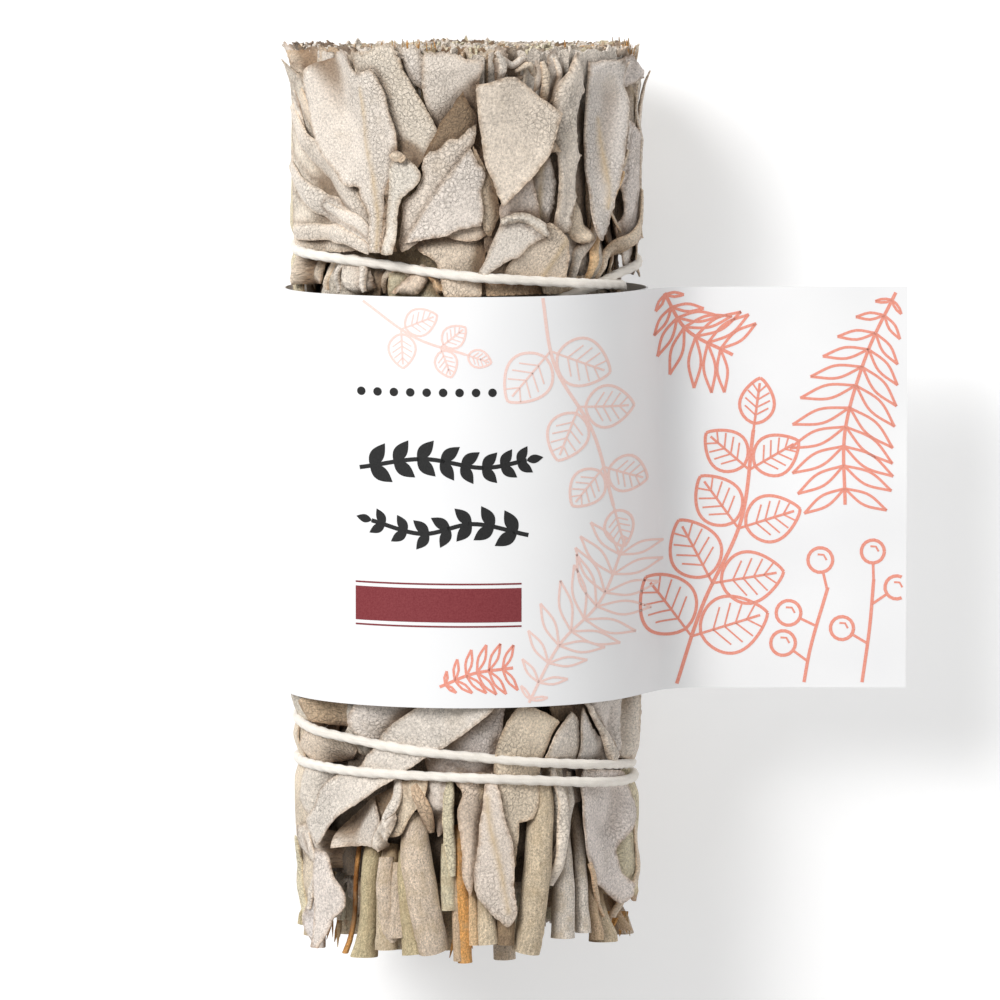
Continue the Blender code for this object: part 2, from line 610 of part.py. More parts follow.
def lay_bundle(core_radius, limited):
    """Lays cores, stems and leaves over a core of the given radius on the grid."""
    rng.seed(CORE_SEED)
    surface = Surface(core_radius - 0.6)
    count = len(OUTER_EDGES)
    pieces = {k: [] for k in range(count)}

    def levels(angles, along):
        turn, step = surface.cells(angles, along + 0 * angles)
        return core_radius[turn, step]

    for k in range(count):
        high = OUTER_EDGES[k + 1] if k + 1 < count else OUTER_EDGES[0] + 360
        stations = (rng.uniform(-45, -42.5), -37, -30, -23, -16, 20, 27, 34, 41, 48, rng.uniform(52.2, 53.2))
        core, skin = wedge((OUTER_EDGES[k], high), OUTER_ROOT, levels, stations)
        pieces[k].append(core)
        surface.lay(spread(core[0][skin], FINE), k)
        margin = 0.18 * (high - OUTER_EDGES[k])
        across = np.linspace(OUTER_EDGES[k], high, 9)
        room = levels(across, 51.5).min() - 0.7
        for level in (13.0, 14.7, 16.2)[: 3 if k % 2 else 2]:
            sides = (OUTER_EDGES[k] + margin * rng.uniform(0.7, 1.6), high - margin * rng.uniform(0.7, 1.6))
            if level <= max(room, 13.0):
                pieces[k].append(end_blade(sides, level, 51.5, rng.uniform(54.3, LEAFY_END)))
        pieces[k].append(end_blade(sides, 13.0, rng.uniform(-47.5, -45.5), -41.5))
    for stem in list(FRONT_STEMS) + back_stems():
        body = tube(stem_path(stem), stem.thick, 8)
        owner = owner_of(stem.angle)
        pieces[owner].append(body)
        quads = [f for f in body[1] if len(f) == 4]
        triangles = np.array([(a, b, c) for a, b, c, d in quads] + [(a, c, d) for a, b, c, d in quads])
        surface.lay(spread(body[0][triangles], FINE), owner)
    for layer in (under_layer(), front_layer(TOP_LEAVES), front_layer(LOW_LEAVES), back_layer()):
        rng.seed(LEAF_SEED)
        for base, tip, leaf in layer:
            lay_leaf(surface, pieces, base, tip, leaf, limited)
    return surface, pieces


def inner_pieces():
    """The six leafy stems round the heart, and the one in the heart."""
    found = {}
    for k, low in enumerate(INNER_EDGES):
        high = INNER_EDGES[k + 1] if k + 1 < len(INNER_EDGES) else INNER_EDGES[0] + 360
        bottom, top = rng.uniform(-46, -44), rng.uniform(52.0, 53.0)
        core, _ = wedge((low, high), INNER_ROOT, lambda angles, along: INNER_TOP + 0 * angles, (bottom, top))
        parts = [core]
        for level in (6.6, 10.2):
            parts.append(end_blade((low + 9, high - 9), level, 51.0, rng.uniform(54.0, LEAFY_END)))
        middle = (low + high) / 2
        thick = rng.uniform(2.8, 3.6)
        parts.append(tube([point(middle, rng.uniform(-52, -49.5), 8.4), point(middle, 0.0, 8.4)], thick, 8))
        parts.append(tube([point(middle, 40.0, 8.4), point(middle, rng.uniform(53.6, 54.6), 8.4)], thick, 8))
        found[k] = parts
    heart = tube([(0, -45.5, 1e-3), (0, 52.4, 1e-3)], 2 * HEART_RADIUS, 12)
    stem = tube([(0, -51.0, 1e-3), (0, 54.2, 1e-3)], 3.4, 8)
    found[len(INNER_EDGES)] = [heart, stem]
    return found


def mesh_object(name, places, faces, look):
    mesh = bpy.data.meshes.new(name)
    lifted = np.asarray(places) + np.array([0, 0, AXIS_HEIGHT])
    mesh.from_pydata([tuple(p * MM) for p in lifted], [], [tuple(map(int, f)) for f in faces])
    work = bmesh.new()
    work.from_mesh(mesh)
    bmesh.ops.recalc_face_normals(work, faces=work.faces)
    work.to_mesh(mesh)
    work.free()
    mesh.materials.append(look)
    obj = bpy.data.objects.new(name, mesh)
    bpy.context.scene.collection.objects.link(obj)
    return obj


def fused(name, parts, look):
    """One object from overlapping closed pieces, by one Boolean union."""
    whole = mesh_object(name, *parts[0], look)
    helpers = bpy.data.collections.new(name + "_parts")
    bpy.context.scene.collection.children.link(helpers)
    for number, part in enumerate(parts[1:]):
        helper = mesh_object(f"{name}_part_{number}", *part, look)
        bpy.context.scene.collection.objects.unlink(helper)
        helpers.objects.link(helper)
    union = whole.modifiers.new("union", "BOOLEAN")
    union.operation = "UNION"
    union.solver = "EXACT"
    union.operand_type = "COLLECTION"
    union.collection = helpers
    graph = bpy.context.evaluated_depsgraph_get()
    joined = bpy.data.meshes.new_from_object(whole.evaluated_get(graph))
    whole.modifiers.clear()
    whole.data = joined
    for helper in list(helpers.objects):
        bpy.data.objects.remove(helper)
    bpy.data.collections.remove(helpers)
    return whole


def string_path(surface):
    """The string's centre line over the leaves, lifted where it goes over itself."""
    turn, along = smooth_way(STRING_WAY, STRING_STEP / 4)
    level = surface.around(turn, along, 3) + 0.3 + STRING_THICK / 2
    over = np.zeros(len(turn))
    for k in range(len(turn)):
        apart = np.abs(wrap(turn[k] - turn[:k])) * math.radians(1) * RADIUS
        earlier = (turn[k] - turn[:k] > 120) & (apart < 4)
        if earlier.any():
            distance = np.hypot(apart[earlier], along[k] - along[:k][earlier]).min()
            over[k] = (STRING_THICK + 0.3) * smooth_step((2.0 - distance) / 0.9)
    level = np.array([level[max(0, k - 3) : k + 4].max() for k in range(len(level))]) + over
    held = (along > SLEEVE_LOW - 1.5) & (along < SLEEVE_HIGH + 1.5)
    room = np.minimum(floor_distance(turn), np.where(held, SLEEVE_RADIUS, 99.0)) - PAPER * held
    level = np.minimum(level, room - STRING_THICK / 2 - 0.15)
    keep = slice(None, None, 4)
    return point(turn[keep], along[keep], level[keep])


def string_object(surface, look):
    """The string with its knot and the two short ends that stand out of the knot."""
    level = surface.around(*KNOT, 4) + 0.3 + 0.8 * STRING_THICK
    knot = [point(KNOT[0] + turn, KNOT[1], level) for turn in (-3.8, -2.8, 0.0, 2.8, 3.8)]
    parts = [tube(string_path(surface), STRING_THICK, 6), tube(knot, (1.2, 2.2, 2.6, 2.2, 1.2), 8)]
    for tail in TAILS:
        places = [point(turn, along, surface.around(turn, along, 3) + 0.9) for turn, along in tail[1:]]
        parts.append(tube([point(*tail[0], level)] + places, 0.9 * STRING_THICK, 6))
    return fused("string", parts, look)


def sleeve_section():
    """Outer and inner points round the sleeve, and the free end's two faces, in X and Z."""
    root = 11.0
    others = list(np.linspace(FLAG_LEAVES_AT + root, FLAG_LEAVES_AT + 360, 44))
    flat = math.degrees(math.acos(AXIS_HEIGHT / SLEEVE_RADIUS))
    angles = [a for a in others if abs(wrap(a - 180)) > flat + 1.5] + [180 - flat, 180 + flat]
    angles = sorted(angles)
    outer, inner = [], []
    for angle in angles:
        turn = math.radians(angle)
        for ring, radius, floor in ((outer, SLEEVE_RADIUS, 0.0), (inner, SLEEVE_RADIUS - PAPER, PAPER)):
            height = AXIS_HEIGHT + radius * math.cos(turn)
            ring.append((radius * math.sin(turn), max(height, floor)))
    return angles, outer, inner


def flag_faces():
    """The free end's outer face from where it leaves the sleeve, with its direction."""
    lean = math.radians(FLAG_LEAVES_AT)
    start = np.array([SLEEVE_RADIUS * math.sin(lean), AXIS_HEIGHT + SLEEVE_RADIUS * math.cos(lean)])
    drop = start[1] - FLAG_HEIGHT - PAPER / 2
    straight = (drop - FLAG_BEND * (1 - math.cos(lean))) / math.sin(lean)
    way = np.array([math.cos(lean), -math.sin(lean)])
    stations = [(start + way * straight * share, lean) for share in (0.45, 1.0)]
    corner = start + way * straight
    for step in range(1, 7):
        left = lean * (1 - step / 6)
        across = FLAG_BEND * (math.sin(lean) - math.sin(left))
        down = FLAG_BEND * (math.cos(left) - math.cos(lean))
        stations.append((corner + np.array([across, -down]), left))
    last = stations[-1][0]
    stations.append((np.array([FLAG_REACH, last[1]]), 0.0))
    return [(place, place + PAPER * np.array([-math.sin(a), -math.cos(a)])) for place, a in stations]


def sleeve_object(look):
    _, outer, inner = sleeve_section()
    flag = flag_faces()
    places, faces = [], []
    n = len(outer)
    section = outer + inner + [tuple(top) for top, _ in flag] + [tuple(low) for _, low in flag]
    for along in (SLEEVE_LOW, SLEEVE_HIGH):
        places += [(x, along, z) for x, z in section]
    count = len(section)
    tops = [n - 1] + [2 * n + k for k in range(len(flag))]
    lows = [0] + [2 * n + len(flag) + k for k in range(len(flag))]
    outline = [(i, i + 1) for i in range(n - 1)]
    outline += list(zip(tops, tops[1:])) + [(tops[-1], lows[-1])] + list(zip(lows[:0:-1], lows[-2::-1]))
    hole = [(n + (i + 1) % n, n + i) for i in range(n)]
    faces += [(a, b, b + count, a + count) for a, b in outline + hole]
    caps = [(i, (i + 1) % n, n + (i + 1) % n, n + i) for i in range(n)]
    caps += [(tops[k], tops[k + 1], lows[k + 1], lows[k]) for k in range(len(flag))]
    faces += caps + [tuple(i + count for i in cap[::-1]) for cap in caps]
    mesh = bpy.data.meshes.new("paper_sleeve")
    mesh.from_pydata([tuple(np.array(p) * MM) for p in places], [], faces)
    work = bmesh.new()
    work.from_mesh(mesh)
    bmesh.ops.recalc_face_normals(work, faces=work.faces)
    work.to_mesh(mesh)
    work.free()
    mesh.materials.append(look)
    obj = bpy.data.objects.new("paper_sleeve", mesh)
    bpy.context.scene.collection.objects.link(obj)
    return obj


def main():
    clear_scene()
    leaf_look = material("sage_leaf", LEAF_COLOUR, 0.9)
    core = np.full((N_ROUND, N_ALONG), TRIAL_CORE)
    surface, _ = lay_bundle(core, False)
    piled = eased(highest(np.maximum(surface.level - core, 0.0), 5), 6)
    core = np.clip(wanted_radius() - piled, 13.2, 19.6)
    surface, pieces = lay_bundle(core, True)
    for k, parts in pieces.items():
        fused(f"leafy_stem_outer_{k + 1:02d}", parts, leaf_look)
    for k, parts in inner_pieces().items():
        fused(f"leafy_stem_inner_{k + 1:02d}", parts, leaf_look)
    string_object(surface, material("cotton_string", STRING_COLOUR, 0.95))
    sleeve_object(material("paper", PAPER_COLOUR, 0.6))


main()
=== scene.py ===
"""The looks of a bundle of dried white sage: leaves, woody stems, string and paper sleeve.

Lengths are in millimetres until a mesh is made. The bundle's axis runs along Y. An angle
round it is 0 at the top and grows towards +X, and a level is a distance from the axis.
"""

import math
import random
from collections import namedtuple

import bpy
import numpy as np
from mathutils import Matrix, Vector, geometry


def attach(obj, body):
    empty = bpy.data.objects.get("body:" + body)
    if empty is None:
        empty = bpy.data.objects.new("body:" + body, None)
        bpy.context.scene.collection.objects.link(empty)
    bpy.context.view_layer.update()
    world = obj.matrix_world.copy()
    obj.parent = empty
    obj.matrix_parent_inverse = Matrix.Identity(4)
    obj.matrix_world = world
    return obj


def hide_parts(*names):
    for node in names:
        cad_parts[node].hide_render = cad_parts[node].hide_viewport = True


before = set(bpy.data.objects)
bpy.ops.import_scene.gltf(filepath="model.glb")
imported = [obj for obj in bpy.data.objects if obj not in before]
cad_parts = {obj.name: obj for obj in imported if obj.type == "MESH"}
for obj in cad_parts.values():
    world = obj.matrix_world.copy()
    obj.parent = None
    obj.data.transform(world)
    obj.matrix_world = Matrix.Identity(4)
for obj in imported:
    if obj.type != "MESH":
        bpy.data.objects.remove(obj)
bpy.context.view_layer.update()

MM = 0.001
RADIUS = 20.9
AXIS_HEIGHT = 21.4
LEAFY_END = 55.0
SLEEVE_LOW, SLEEVE_HIGH = -22.1, 26.2
SLEEVE_RADIUS = 21.8

# The string: its thickness, the length of a strand's turn, its strands and loose fibres, and
# how many degrees back along it can't lie below it
STRING_THICK = 1.1
STRING_PITCH = 6.5
STRANDS = 3
LOOSE_FIBRES = 700
SAME_TURN = 120

# The photograph's frame: millimetres to a pixel, pixels across, and the pixel of the axis's
# origin. Then the camera's tilt, and its distance from the axis.
PIXEL = 0.12
PHOTO_WIDTH = 1000
PIXEL_X, PIXEL_Y = 466, 505
CAMERA_TILT = 0.084
CAMERA_AWAY = 900.0

# Edges of the twelve outer leafy stems round the bundle, in degrees
OUTER_EDGES = (-70, -42.2, -18.2, 2.6, 36, 67, 99, 131, 163, 195, 227, 258)
INNER_EDGES = (8, 66, 127, 185, 249, 307)

rng = random.Random(7)
noise_rng = np.random.default_rng(5)

# Leaf colours as they look in soft light, red, green, blue out of 255
LOOKS = {
    "pale": (213, 203, 191),
    "grey": (203, 192, 179),
    "cool": (200, 191, 183),
    "warm": (203, 187, 167),
    "green": (190, 180, 154),
    "brown": (180, 156, 130),
    "dark": (128, 108, 86),
    "tan": (200, 170, 132),
    "orange": (205, 150, 88),
    "bark": (186, 170, 146),
    "barkgrey": (184, 168, 150),
    "barkgreen": (176, 162, 130),
}
GAIN = 1.60
BRIGHTEST = 0.84

# How a leaf stands out: rise of its middle, from how far inside the margin, curl of the
# margin, waves, and reach of the smooth ride over what is below
Form = namedtuple("Form", "rise inside curl wave ride")
FORMS = {
    "flat": Form(0.12, 0.9, 0.14, 0.10, 4.0),
    "soft": Form(0.40, 2.0, 0.10, 0.20, 2.4),
    "fold": Form(1.15, 1.4, 0.0, 0.12, 0.8),
    "roll": Form(1.45, 0.9, 0.0, 0.08, 0.5),
}


# A narrow rolled or folded leaf: its run and width in pixels
Strip = namedtuple("Strip", "name look form path width")
Leaf = namedtuple("Leaf", "name look form outline rib", defaults=((),))
# Leaves seen from the front, deepest first. Outlines are pixels of the photograph, and so
# is the run of a midrib that shows as a coloured line.
TOP_LEAVES = (
    Leaf("cut_left", "warm", "soft", ((296, 52), (311, 49), (318, 62), (314, 90), (304, 96), (296, 90))),
    Leaf("cut_small", "pale", "soft", ((399, 52), (411, 47), (421, 54), (426, 69), (424, 92), (412, 84),
         (404, 66))),
    Leaf("crumple_c", "grey", "fold", ((497, 50), (506, 48), (510, 62), (507, 82), (498, 80))),
    Leaf("upper_middle", "grey", "flat", ((425, 52), (435, 54), (450, 53), (467, 60), (481, 61), (484, 66),
         (481, 78), (480, 112), (472, 140), (450, 150), (434, 129), (425, 102), (423, 81))),
    Leaf("right_top", "cool", "fold", ((623, 61), (636, 56), (639, 68), (641, 78), (630, 92), (623, 88))),
    Leaf("right_low", "cool", "soft", ((624, 122), (629, 119), (641, 136), (643, 165), (643, 199),
         (641, 238), (629, 245), (627, 228), (631, 214), (629, 190), (625, 165))),
    Leaf("stub_a", "warm", "fold", ((292, 246), (303, 252), (302, 283), (291, 284))),
    Leaf("under_string", "warm", "flat", ((447, 262), (482, 272), (498, 290), (480, 296), (445, 296))),
    Leaf("under_right", "brown", "flat", ((488, 276), (547, 282), (549, 294), (488, 296))),
    Leaf("under_far", "warm", "soft", ((548, 278), (600, 276), (604, 293), (550, 294))),
    Leaf("stub_d", "pale", "roll", ((333, 259), (342, 256), (355, 264), (368, 288), (357, 293), (346, 292),
         (337, 276))),
    Leaf("stub_f", "warm", "fold", ((387, 293), (401, 279), (418, 265), (428, 271), (416, 294))),
    Leaf("stub_g", "tan", "roll", ((426, 273), (436, 276), (448, 292), (436, 294))),
    Leaf("lower_middle", "warm", "flat", ((408, 243), (437, 237), (450, 232), (474, 227), (491, 231),
         (493, 240), (488, 253), (482, 296), (446, 296), (435, 262), (423, 255))),
    Leaf("behind_shard", "grey", "flat", ((486, 200), (505, 204), (540, 180), (544, 230), (500, 262),
         (488, 250))),
    Leaf("behind_kite", "warm", "flat", ((440, 130), (482, 118), (492, 170), (500, 215), (480, 240),
         (440, 232), (425, 190))),
    Leaf("fan_base", "grey", "flat", ((294, 60), (312, 88), (330, 150), (352, 200), (368, 246), (336, 252),
         (298, 250), (292, 150))),
    Strip("edge_left_a", "grey", "roll", ((292, 150), (293, 185), (296, 235)), 12),
    Strip("edge_left_b", "pale", "fold", ((296, 92), (300, 120), (306, 150)), 15),
    Strip("fan_a", "warm", "fold", ((302, 92), (314, 130), (336, 172), (358, 210), (368, 246)), 24),
    Strip("fan_b", "grey", "fold", ((295, 108), (306, 142), (330, 182), (356, 218), (371, 248)), 26),
    Strip("fan_d", "pale", "fold", ((294, 166), (308, 196), (334, 216), (370, 240)), 25),
    Strip("fan_f", "pale", "fold", ((322, 206), (342, 215), (360, 224), (373, 244)), 12),
    Strip("fan_g", "grey", "fold", ((294, 232), (318, 232), (345, 236), (371, 250)), 17),
    Strip("loop_a", "pale", "roll", ((330, 292), (331, 270), (343, 259), (356, 266), (364, 292)), 9),
    Strip("loop_b", "warm", "roll", ((372, 294), (374, 276), (388, 268), (402, 276)), 8),
    Strip("loop_c", "warm", "roll", ((298, 256), (316, 262), (316, 290)), 10),
    Strip("curl_a", "pale", "roll", ((502, 58), (514, 66), (528, 60), (538, 70)), 8),
    Strip("curl_b", "pale", "roll", ((500, 76), (514, 82), (534, 76)), 7),
    Strip("curl_e", "pale", "roll", ((497, 52), (504, 68), (500, 92)), 7),
    Strip("curl_f", "warm", "roll", ((518, 72), (533, 66), (544, 80)), 7),
    Strip("curl_g", "grey", "roll", ((541, 56), (545, 76), (542, 100)), 8),
    Strip("curl_c", "warm", "roll", ((547, 62), (552, 88), (549, 122)), 9),
    Strip("curl_d", "grey", "roll", ((560, 58), (565, 80), (560, 104)), 8),
    Strip("slim_middle", "grey", "roll", ((551, 140), (560, 185), (556, 240)), 10),
    Leaf("rib_small", "pale", "fold", ((548, 154), (556, 157), (560, 175), (561, 199), (559, 219),
         (556, 232), (542, 223), (541, 204), (539, 187), (535, 174), (543, 163)), ((547, 160), (546, 190),
         (545, 216))),
    Strip("right_edge_a", "cool", "roll", ((630, 62), (631, 100), (628, 160)), 9),
    Strip("right_edge_b", "grey", "roll", ((638, 84), (639, 150), (640, 238)), 7),
    Strip("right_edge_c", "warm", "roll", ((628, 150), (624, 190), (628, 232)), 8),
    Strip("foot_a", "warm", "fold", ((640, 190), (636, 226), (620, 254), (612, 284)), 15),
    Strip("foot_b", "tan", "roll", ((628, 172), (622, 212), (606, 246), (597, 284)), 13),
    Strip("foot_c", "grey", "roll", ((613, 208), (604, 236), (588, 258), (580, 284)), 12),
    Strip("foot_d", "warm", "roll", ((566, 228), (570, 256), (571, 284)), 12),
    Leaf("tucked", "warm", "fold", ((583, 197), (593, 212), (596, 228), (598, 238), (590, 244), (580, 237),
         (573, 224), (578, 211))),
    Leaf("tall_right", "cool", "soft", ((594, 62), (602, 63), (612, 60), (621, 66), (623, 93), (622, 122),
         (620, 151), (617, 175), (614, 195), (611, 214), (605, 233), (601, 240), (597, 232), (595, 214),
         (596, 185), (594, 141), (594, 93)), ((606, 120), (608, 150), (610, 190), (608, 208))),
    Leaf("tall_fold", "grey", "fold", ((558, 134), (556, 117), (559, 100), (561, 83), (571, 71), (577, 64),
         (582, 54), (586, 61), (588, 76), (588, 93), (584, 117), (585, 136), (586, 151), (589, 156),
         (586, 163), (583, 175), (583, 190), (579, 204), (575, 221), (571, 233), (561, 235), (559, 228),
         (561, 204), (562, 180), (561, 156))),
    Leaf("knob", "warm", "fold", ((554, 134), (559, 144), (563, 152), (551, 154), (539, 166), (547, 148))),
    Leaf("broad_second", "grey", "flat", ((350, 50), (364, 54), (377, 46), (394, 46), (400, 56), (408, 76),
         (423, 102), (436, 128), (437, 132), (425, 155), (419, 163), (409, 176), (396, 190), (380, 160),
         (358, 100))),
    Leaf("dark_leaf", "dark", "flat", ((464, 92), (470, 105), (478, 117), (476, 131), (470, 140),
         (459, 149), (446, 150), (430, 158), (424, 157), (431, 144), (437, 133), (442, 122), (452, 110),
         (458, 100))),
    Leaf("diagonal", "grey", "flat", ((477, 125), (476, 140), (471, 150), (462, 168), (452, 186),
         (440, 205), (430, 222), (420, 240), (404, 252), (400, 245), (402, 214), (402, 204), (416, 190),
         (423, 175), (423, 165), (429, 154), (440, 150), (450, 139), (459, 139), (470, 129))),
    Leaf("tongue", "warm", "flat", ((474, 146), (486, 168), (495, 185), (501, 202), (502, 214), (497, 226),
         (493, 236), (489, 236), (485, 228), (483, 214), (481, 199), (476, 170))),
    Leaf("kite", "cool", "flat", ((471, 148), (479, 163), (486, 175), (482, 190), (484, 209), (482, 226),
         (459, 230), (447, 236), (435, 238), (412, 242), (407, 243), (412, 231), (423, 214), (435, 195),
         (450, 175), (462, 158))),
    Leaf("side_patch", "grey", "flat", ((533, 174), (538, 190), (541, 204), (543, 226), (532, 222),
         (519, 218), (502, 224), (500, 211), (503, 203), (513, 194), (522, 184))),
    Leaf("lower_right", "warm", "flat", ((542, 226), (549, 223), (559, 231), (566, 241), (567, 262),
         (568, 282), (547, 284), (522, 284), (506, 282), (509, 265), (522, 252), (537, 238), (544, 236)),
         ((564, 240), (556, 256), (546, 276))),
    Leaf("folded_low", "pale", "flat", ((502, 219), (519, 214), (532, 219), (541, 225), (545, 236),
         (537, 240), (527, 247), (518, 256), (508, 260), (493, 270), (484, 277), (479, 273), (484, 262),
         (493, 241), (500, 227))),
    Leaf("folded_rim", "pale", "roll", ((501, 219), (519, 212), (533, 216), (543, 225), (546, 236),
         (541, 236), (530, 226), (517, 222), (503, 226))),
    Leaf("pentagon", "grey", "flat", ((477, 85), (491, 83), (514, 78), (537, 95), (560, 114), (556, 127),
         (554, 136), (548, 153), (539, 165), (532, 175), (522, 185), (513, 195), (502, 206), (498, 197),
         (492, 180), (486, 165), (482, 136), (478, 112))),
    Leaf("broad_first", "pale", "soft", ((316, 68), (325, 60), (338, 53), (347, 50), (351, 54), (350, 66),
         (355, 72), (362, 74), (373, 69), (378, 75), (383, 87), (387, 95), (390, 112), (396, 134),
         (397, 152), (393, 165), (390, 178), (387, 187), (384, 199), (386, 214), (388, 231), (389, 252),
         (373, 252), (371, 231), (370, 214), (364, 199), (358, 187), (350, 187), (341, 182), (335, 170),
         (327, 156), (320, 136), (316, 117), (313, 93), (314, 78)), ((362, 90), (366, 140), (374, 180),
         (380, 215), (381, 248))),
    Leaf("foot_slim", "warm", "roll", ((387, 192), (392, 178), (393, 252), (386, 252))),
    Leaf("rolled_small", "pale", "soft", ((395, 159), (399, 153), (406, 157), (415, 163), (423, 175),
         (421, 182), (413, 190), (405, 197), (401, 214), (401, 238), (399, 254), (390, 253), (392, 226),
         (393, 190))),
    Leaf("rolled_top", "warm", "roll", ((395, 155), (401, 151), (410, 157), (408, 162), (399, 160))),
)
LOW_LEAVES = (
    Leaf("low_left_a", "grey", "soft", ((292, 692), (306, 694), (306, 720), (294, 722))),
    Leaf("low_left_b", "brown", "soft", ((305, 692), (338, 697), (347, 704), (345, 723), (337, 732),
         (322, 728), (305, 722))),
    Leaf("low_left_c", "warm", "soft", ((302, 731), (333, 740), (340, 753), (330, 762), (307, 764),
         (299, 748))),
    Leaf("low_left_d", "grey", "soft", ((302, 768), (333, 770), (318, 796), (314, 813), (306, 818),
         (298, 800))),
    Leaf("low_dark_side", "dark", "flat", ((553, 696), (584, 696), (580, 722), (560, 724))),
    Leaf("low_fold_a", "grey", "fold", ((343, 702), (359, 704), (356, 728), (354, 743), (363, 762),
         (345, 760), (340, 741), (335, 731))),
    Leaf("low_patch", "cool", "flat", ((357, 706), (389, 702), (428, 705), (400, 726), (386, 742),
         (360, 742), (352, 728), (353, 714))),
    Leaf("low_right_a", "grey", "soft", ((628, 692), (642, 690), (642, 760), (630, 760))),
    Leaf("low_right_b", "cool", "fold", ((594, 696), (630, 694), (632, 762), (624, 752), (619, 736),
         (605, 716))),
    Leaf("low_bottom_right", "green", "fold", ((624, 840), (634, 818), (641, 834), (638, 876), (630, 900),
         (622, 880))),
    Leaf("low_textured", "cool", "flat", ((420, 762), (450, 748), (469, 732), (488, 716), (499, 703),
         (508, 707), (506, 724), (499, 757), (497, 784), (470, 786), (430, 784))),
    Leaf("low_left_tip_b", "grey", "fold", ((296, 829), (307, 828), (320, 850), (315, 873), (304, 861),
         (297, 846))),
    Leaf("low_left_tip_e", "cool", "flat", ((312, 888), (318, 898), (318, 922), (315, 952), (308, 950),
         (302, 922), (306, 903))),
    Leaf("low_left_tip_d", "cool", "flat", ((315, 850), (325, 857), (331, 876), (341, 898), (340, 913),
         (333, 922), (327, 951), (321, 949), (316, 922), (314, 886))),
    Leaf("low_pointed_a", "grey", "fold", ((423, 777), (447, 777), (449, 796), (453, 830), (436, 841),
         (427, 823), (422, 808))),
    Leaf("low_pointed_b", "warm", "flat", ((366, 800), (397, 787), (391, 806), (378, 825), (370, 827))),
    Leaf("low_pad", "grey", "soft", ((336, 821), (366, 800), (373, 823), (374, 852), (354, 850), (334, 850),
         (331, 835))),
    Leaf("low_pointed_c", "warm", "flat", ((391, 786), (426, 781), (424, 801), (411, 817), (401, 837),
         (389, 840), (388, 822), (396, 810), (388, 803))),
    Leaf("low_pointed_d", "pale", "fold", ((371, 840), (377, 824), (394, 812), (397, 821), (393, 835),
         (385, 848), (376, 855), (370, 848))),
    Leaf("low_split", "warm", "soft", ((452, 775), (493, 777), (488, 794), (484, 821), (480, 850),
         (475, 886), (471, 900), (464, 884), (462, 850), (458, 816), (463, 796), (457, 787)), ((487, 780),
         (483, 800))),
    Leaf("low_broad", "warm", "flat", ((497, 755), (504, 733), (518, 711), (532, 709), (547, 715),
         (561, 724), (552, 741), (549, 757), (545, 784), (542, 801), (534, 821), (521, 826), (519, 845),
         (516, 870), (510, 850), (506, 838), (500, 816), (496, 784))),
    Leaf("low_hanging", "grey", "soft", ((493, 775), (500, 796), (503, 816), (509, 835), (512, 850),
         (514, 869), (513, 888), (516, 913), (513, 926), (507, 931), (498, 923), (488, 913), (478, 899),
         (475, 881), (478, 855), (480, 830), (483, 811), (486, 787)), ((487, 800), (490, 830), (500, 870),
         (508, 915))),
    Leaf("low_pear", "grey", "soft", ((548, 762), (554, 741), (564, 724), (573, 713), (582, 721),
         (585, 736), (586, 764))),
    Leaf("low_band_a", "pale", "fold", ((553, 772), (572, 772), (575, 794), (571, 816), (562, 845),
         (556, 857), (557, 830), (558, 806))),
    Strip("low_band_b", "pale", "fold", ((586, 776), (578, 812), (564, 852), (553, 908)), 15),
    Strip("low_band_c", "grey", "roll", ((560, 772), (566, 808), (562, 850), (556, 890)), 14),
    Strip("low_slim", "green", "roll", ((450, 776), (448, 830), (453, 880)), 12),
    Strip("low_left_roll", "green", "fold", ((297, 838), (296, 875), (301, 918)), 13),
    Strip("low_left_roll_b", "grey", "roll", ((305, 836), (311, 872), (307, 912)), 11),
    Strip("low_right_roll", "warm", "roll", ((637, 824), (638, 870), (632, 930)), 14),
    Strip("low_curl_a", "pale", "roll", ((392, 778), (396, 800), (386, 822)), 12),
    Strip("low_curl_b", "brown", "roll", ((412, 788), (424, 812), (427, 838)), 14),
    Leaf("low_fan_a", "cool", "flat", ((583, 709), (596, 728), (608, 743), (620, 764), (588, 764),
         (584, 736))),
    Leaf("low_fan_b", "pale", "fold", ((580, 698), (591, 702), (608, 721), (623, 738), (626, 750),
         (627, 766), (616, 764), (600, 730), (587, 712))),
    Leaf("low_veined", "cool", "soft", ((590, 772), (612, 772), (632, 776), (635, 801), (635, 816),
         (630, 833), (623, 852), (624, 864), (625, 876), (630, 886), (629, 898), (624, 906), (618, 899),
         (612, 893), (602, 886), (595, 871), (589, 854), (586, 835), (586, 816), (588, 796))),
    Strip("low_veined_tip", "brown", "fold", ((592, 866), (601, 890), (614, 920)), 8),
    Leaf("pale_long", "pale", "flat", ((500, 702), (488, 716), (469, 732), (445, 749), (425, 760),
         (401, 777), (382, 789), (360, 804), (338, 821), (326, 840), (320, 847), (314, 841), (309, 830),
         (308, 821), (316, 806), (321, 792), (336, 777), (358, 768), (377, 743), (396, 724), (416, 710),
         (430, 704), (464, 700))),
)

Stem = namedtuple("Stem", "top foot thick look")
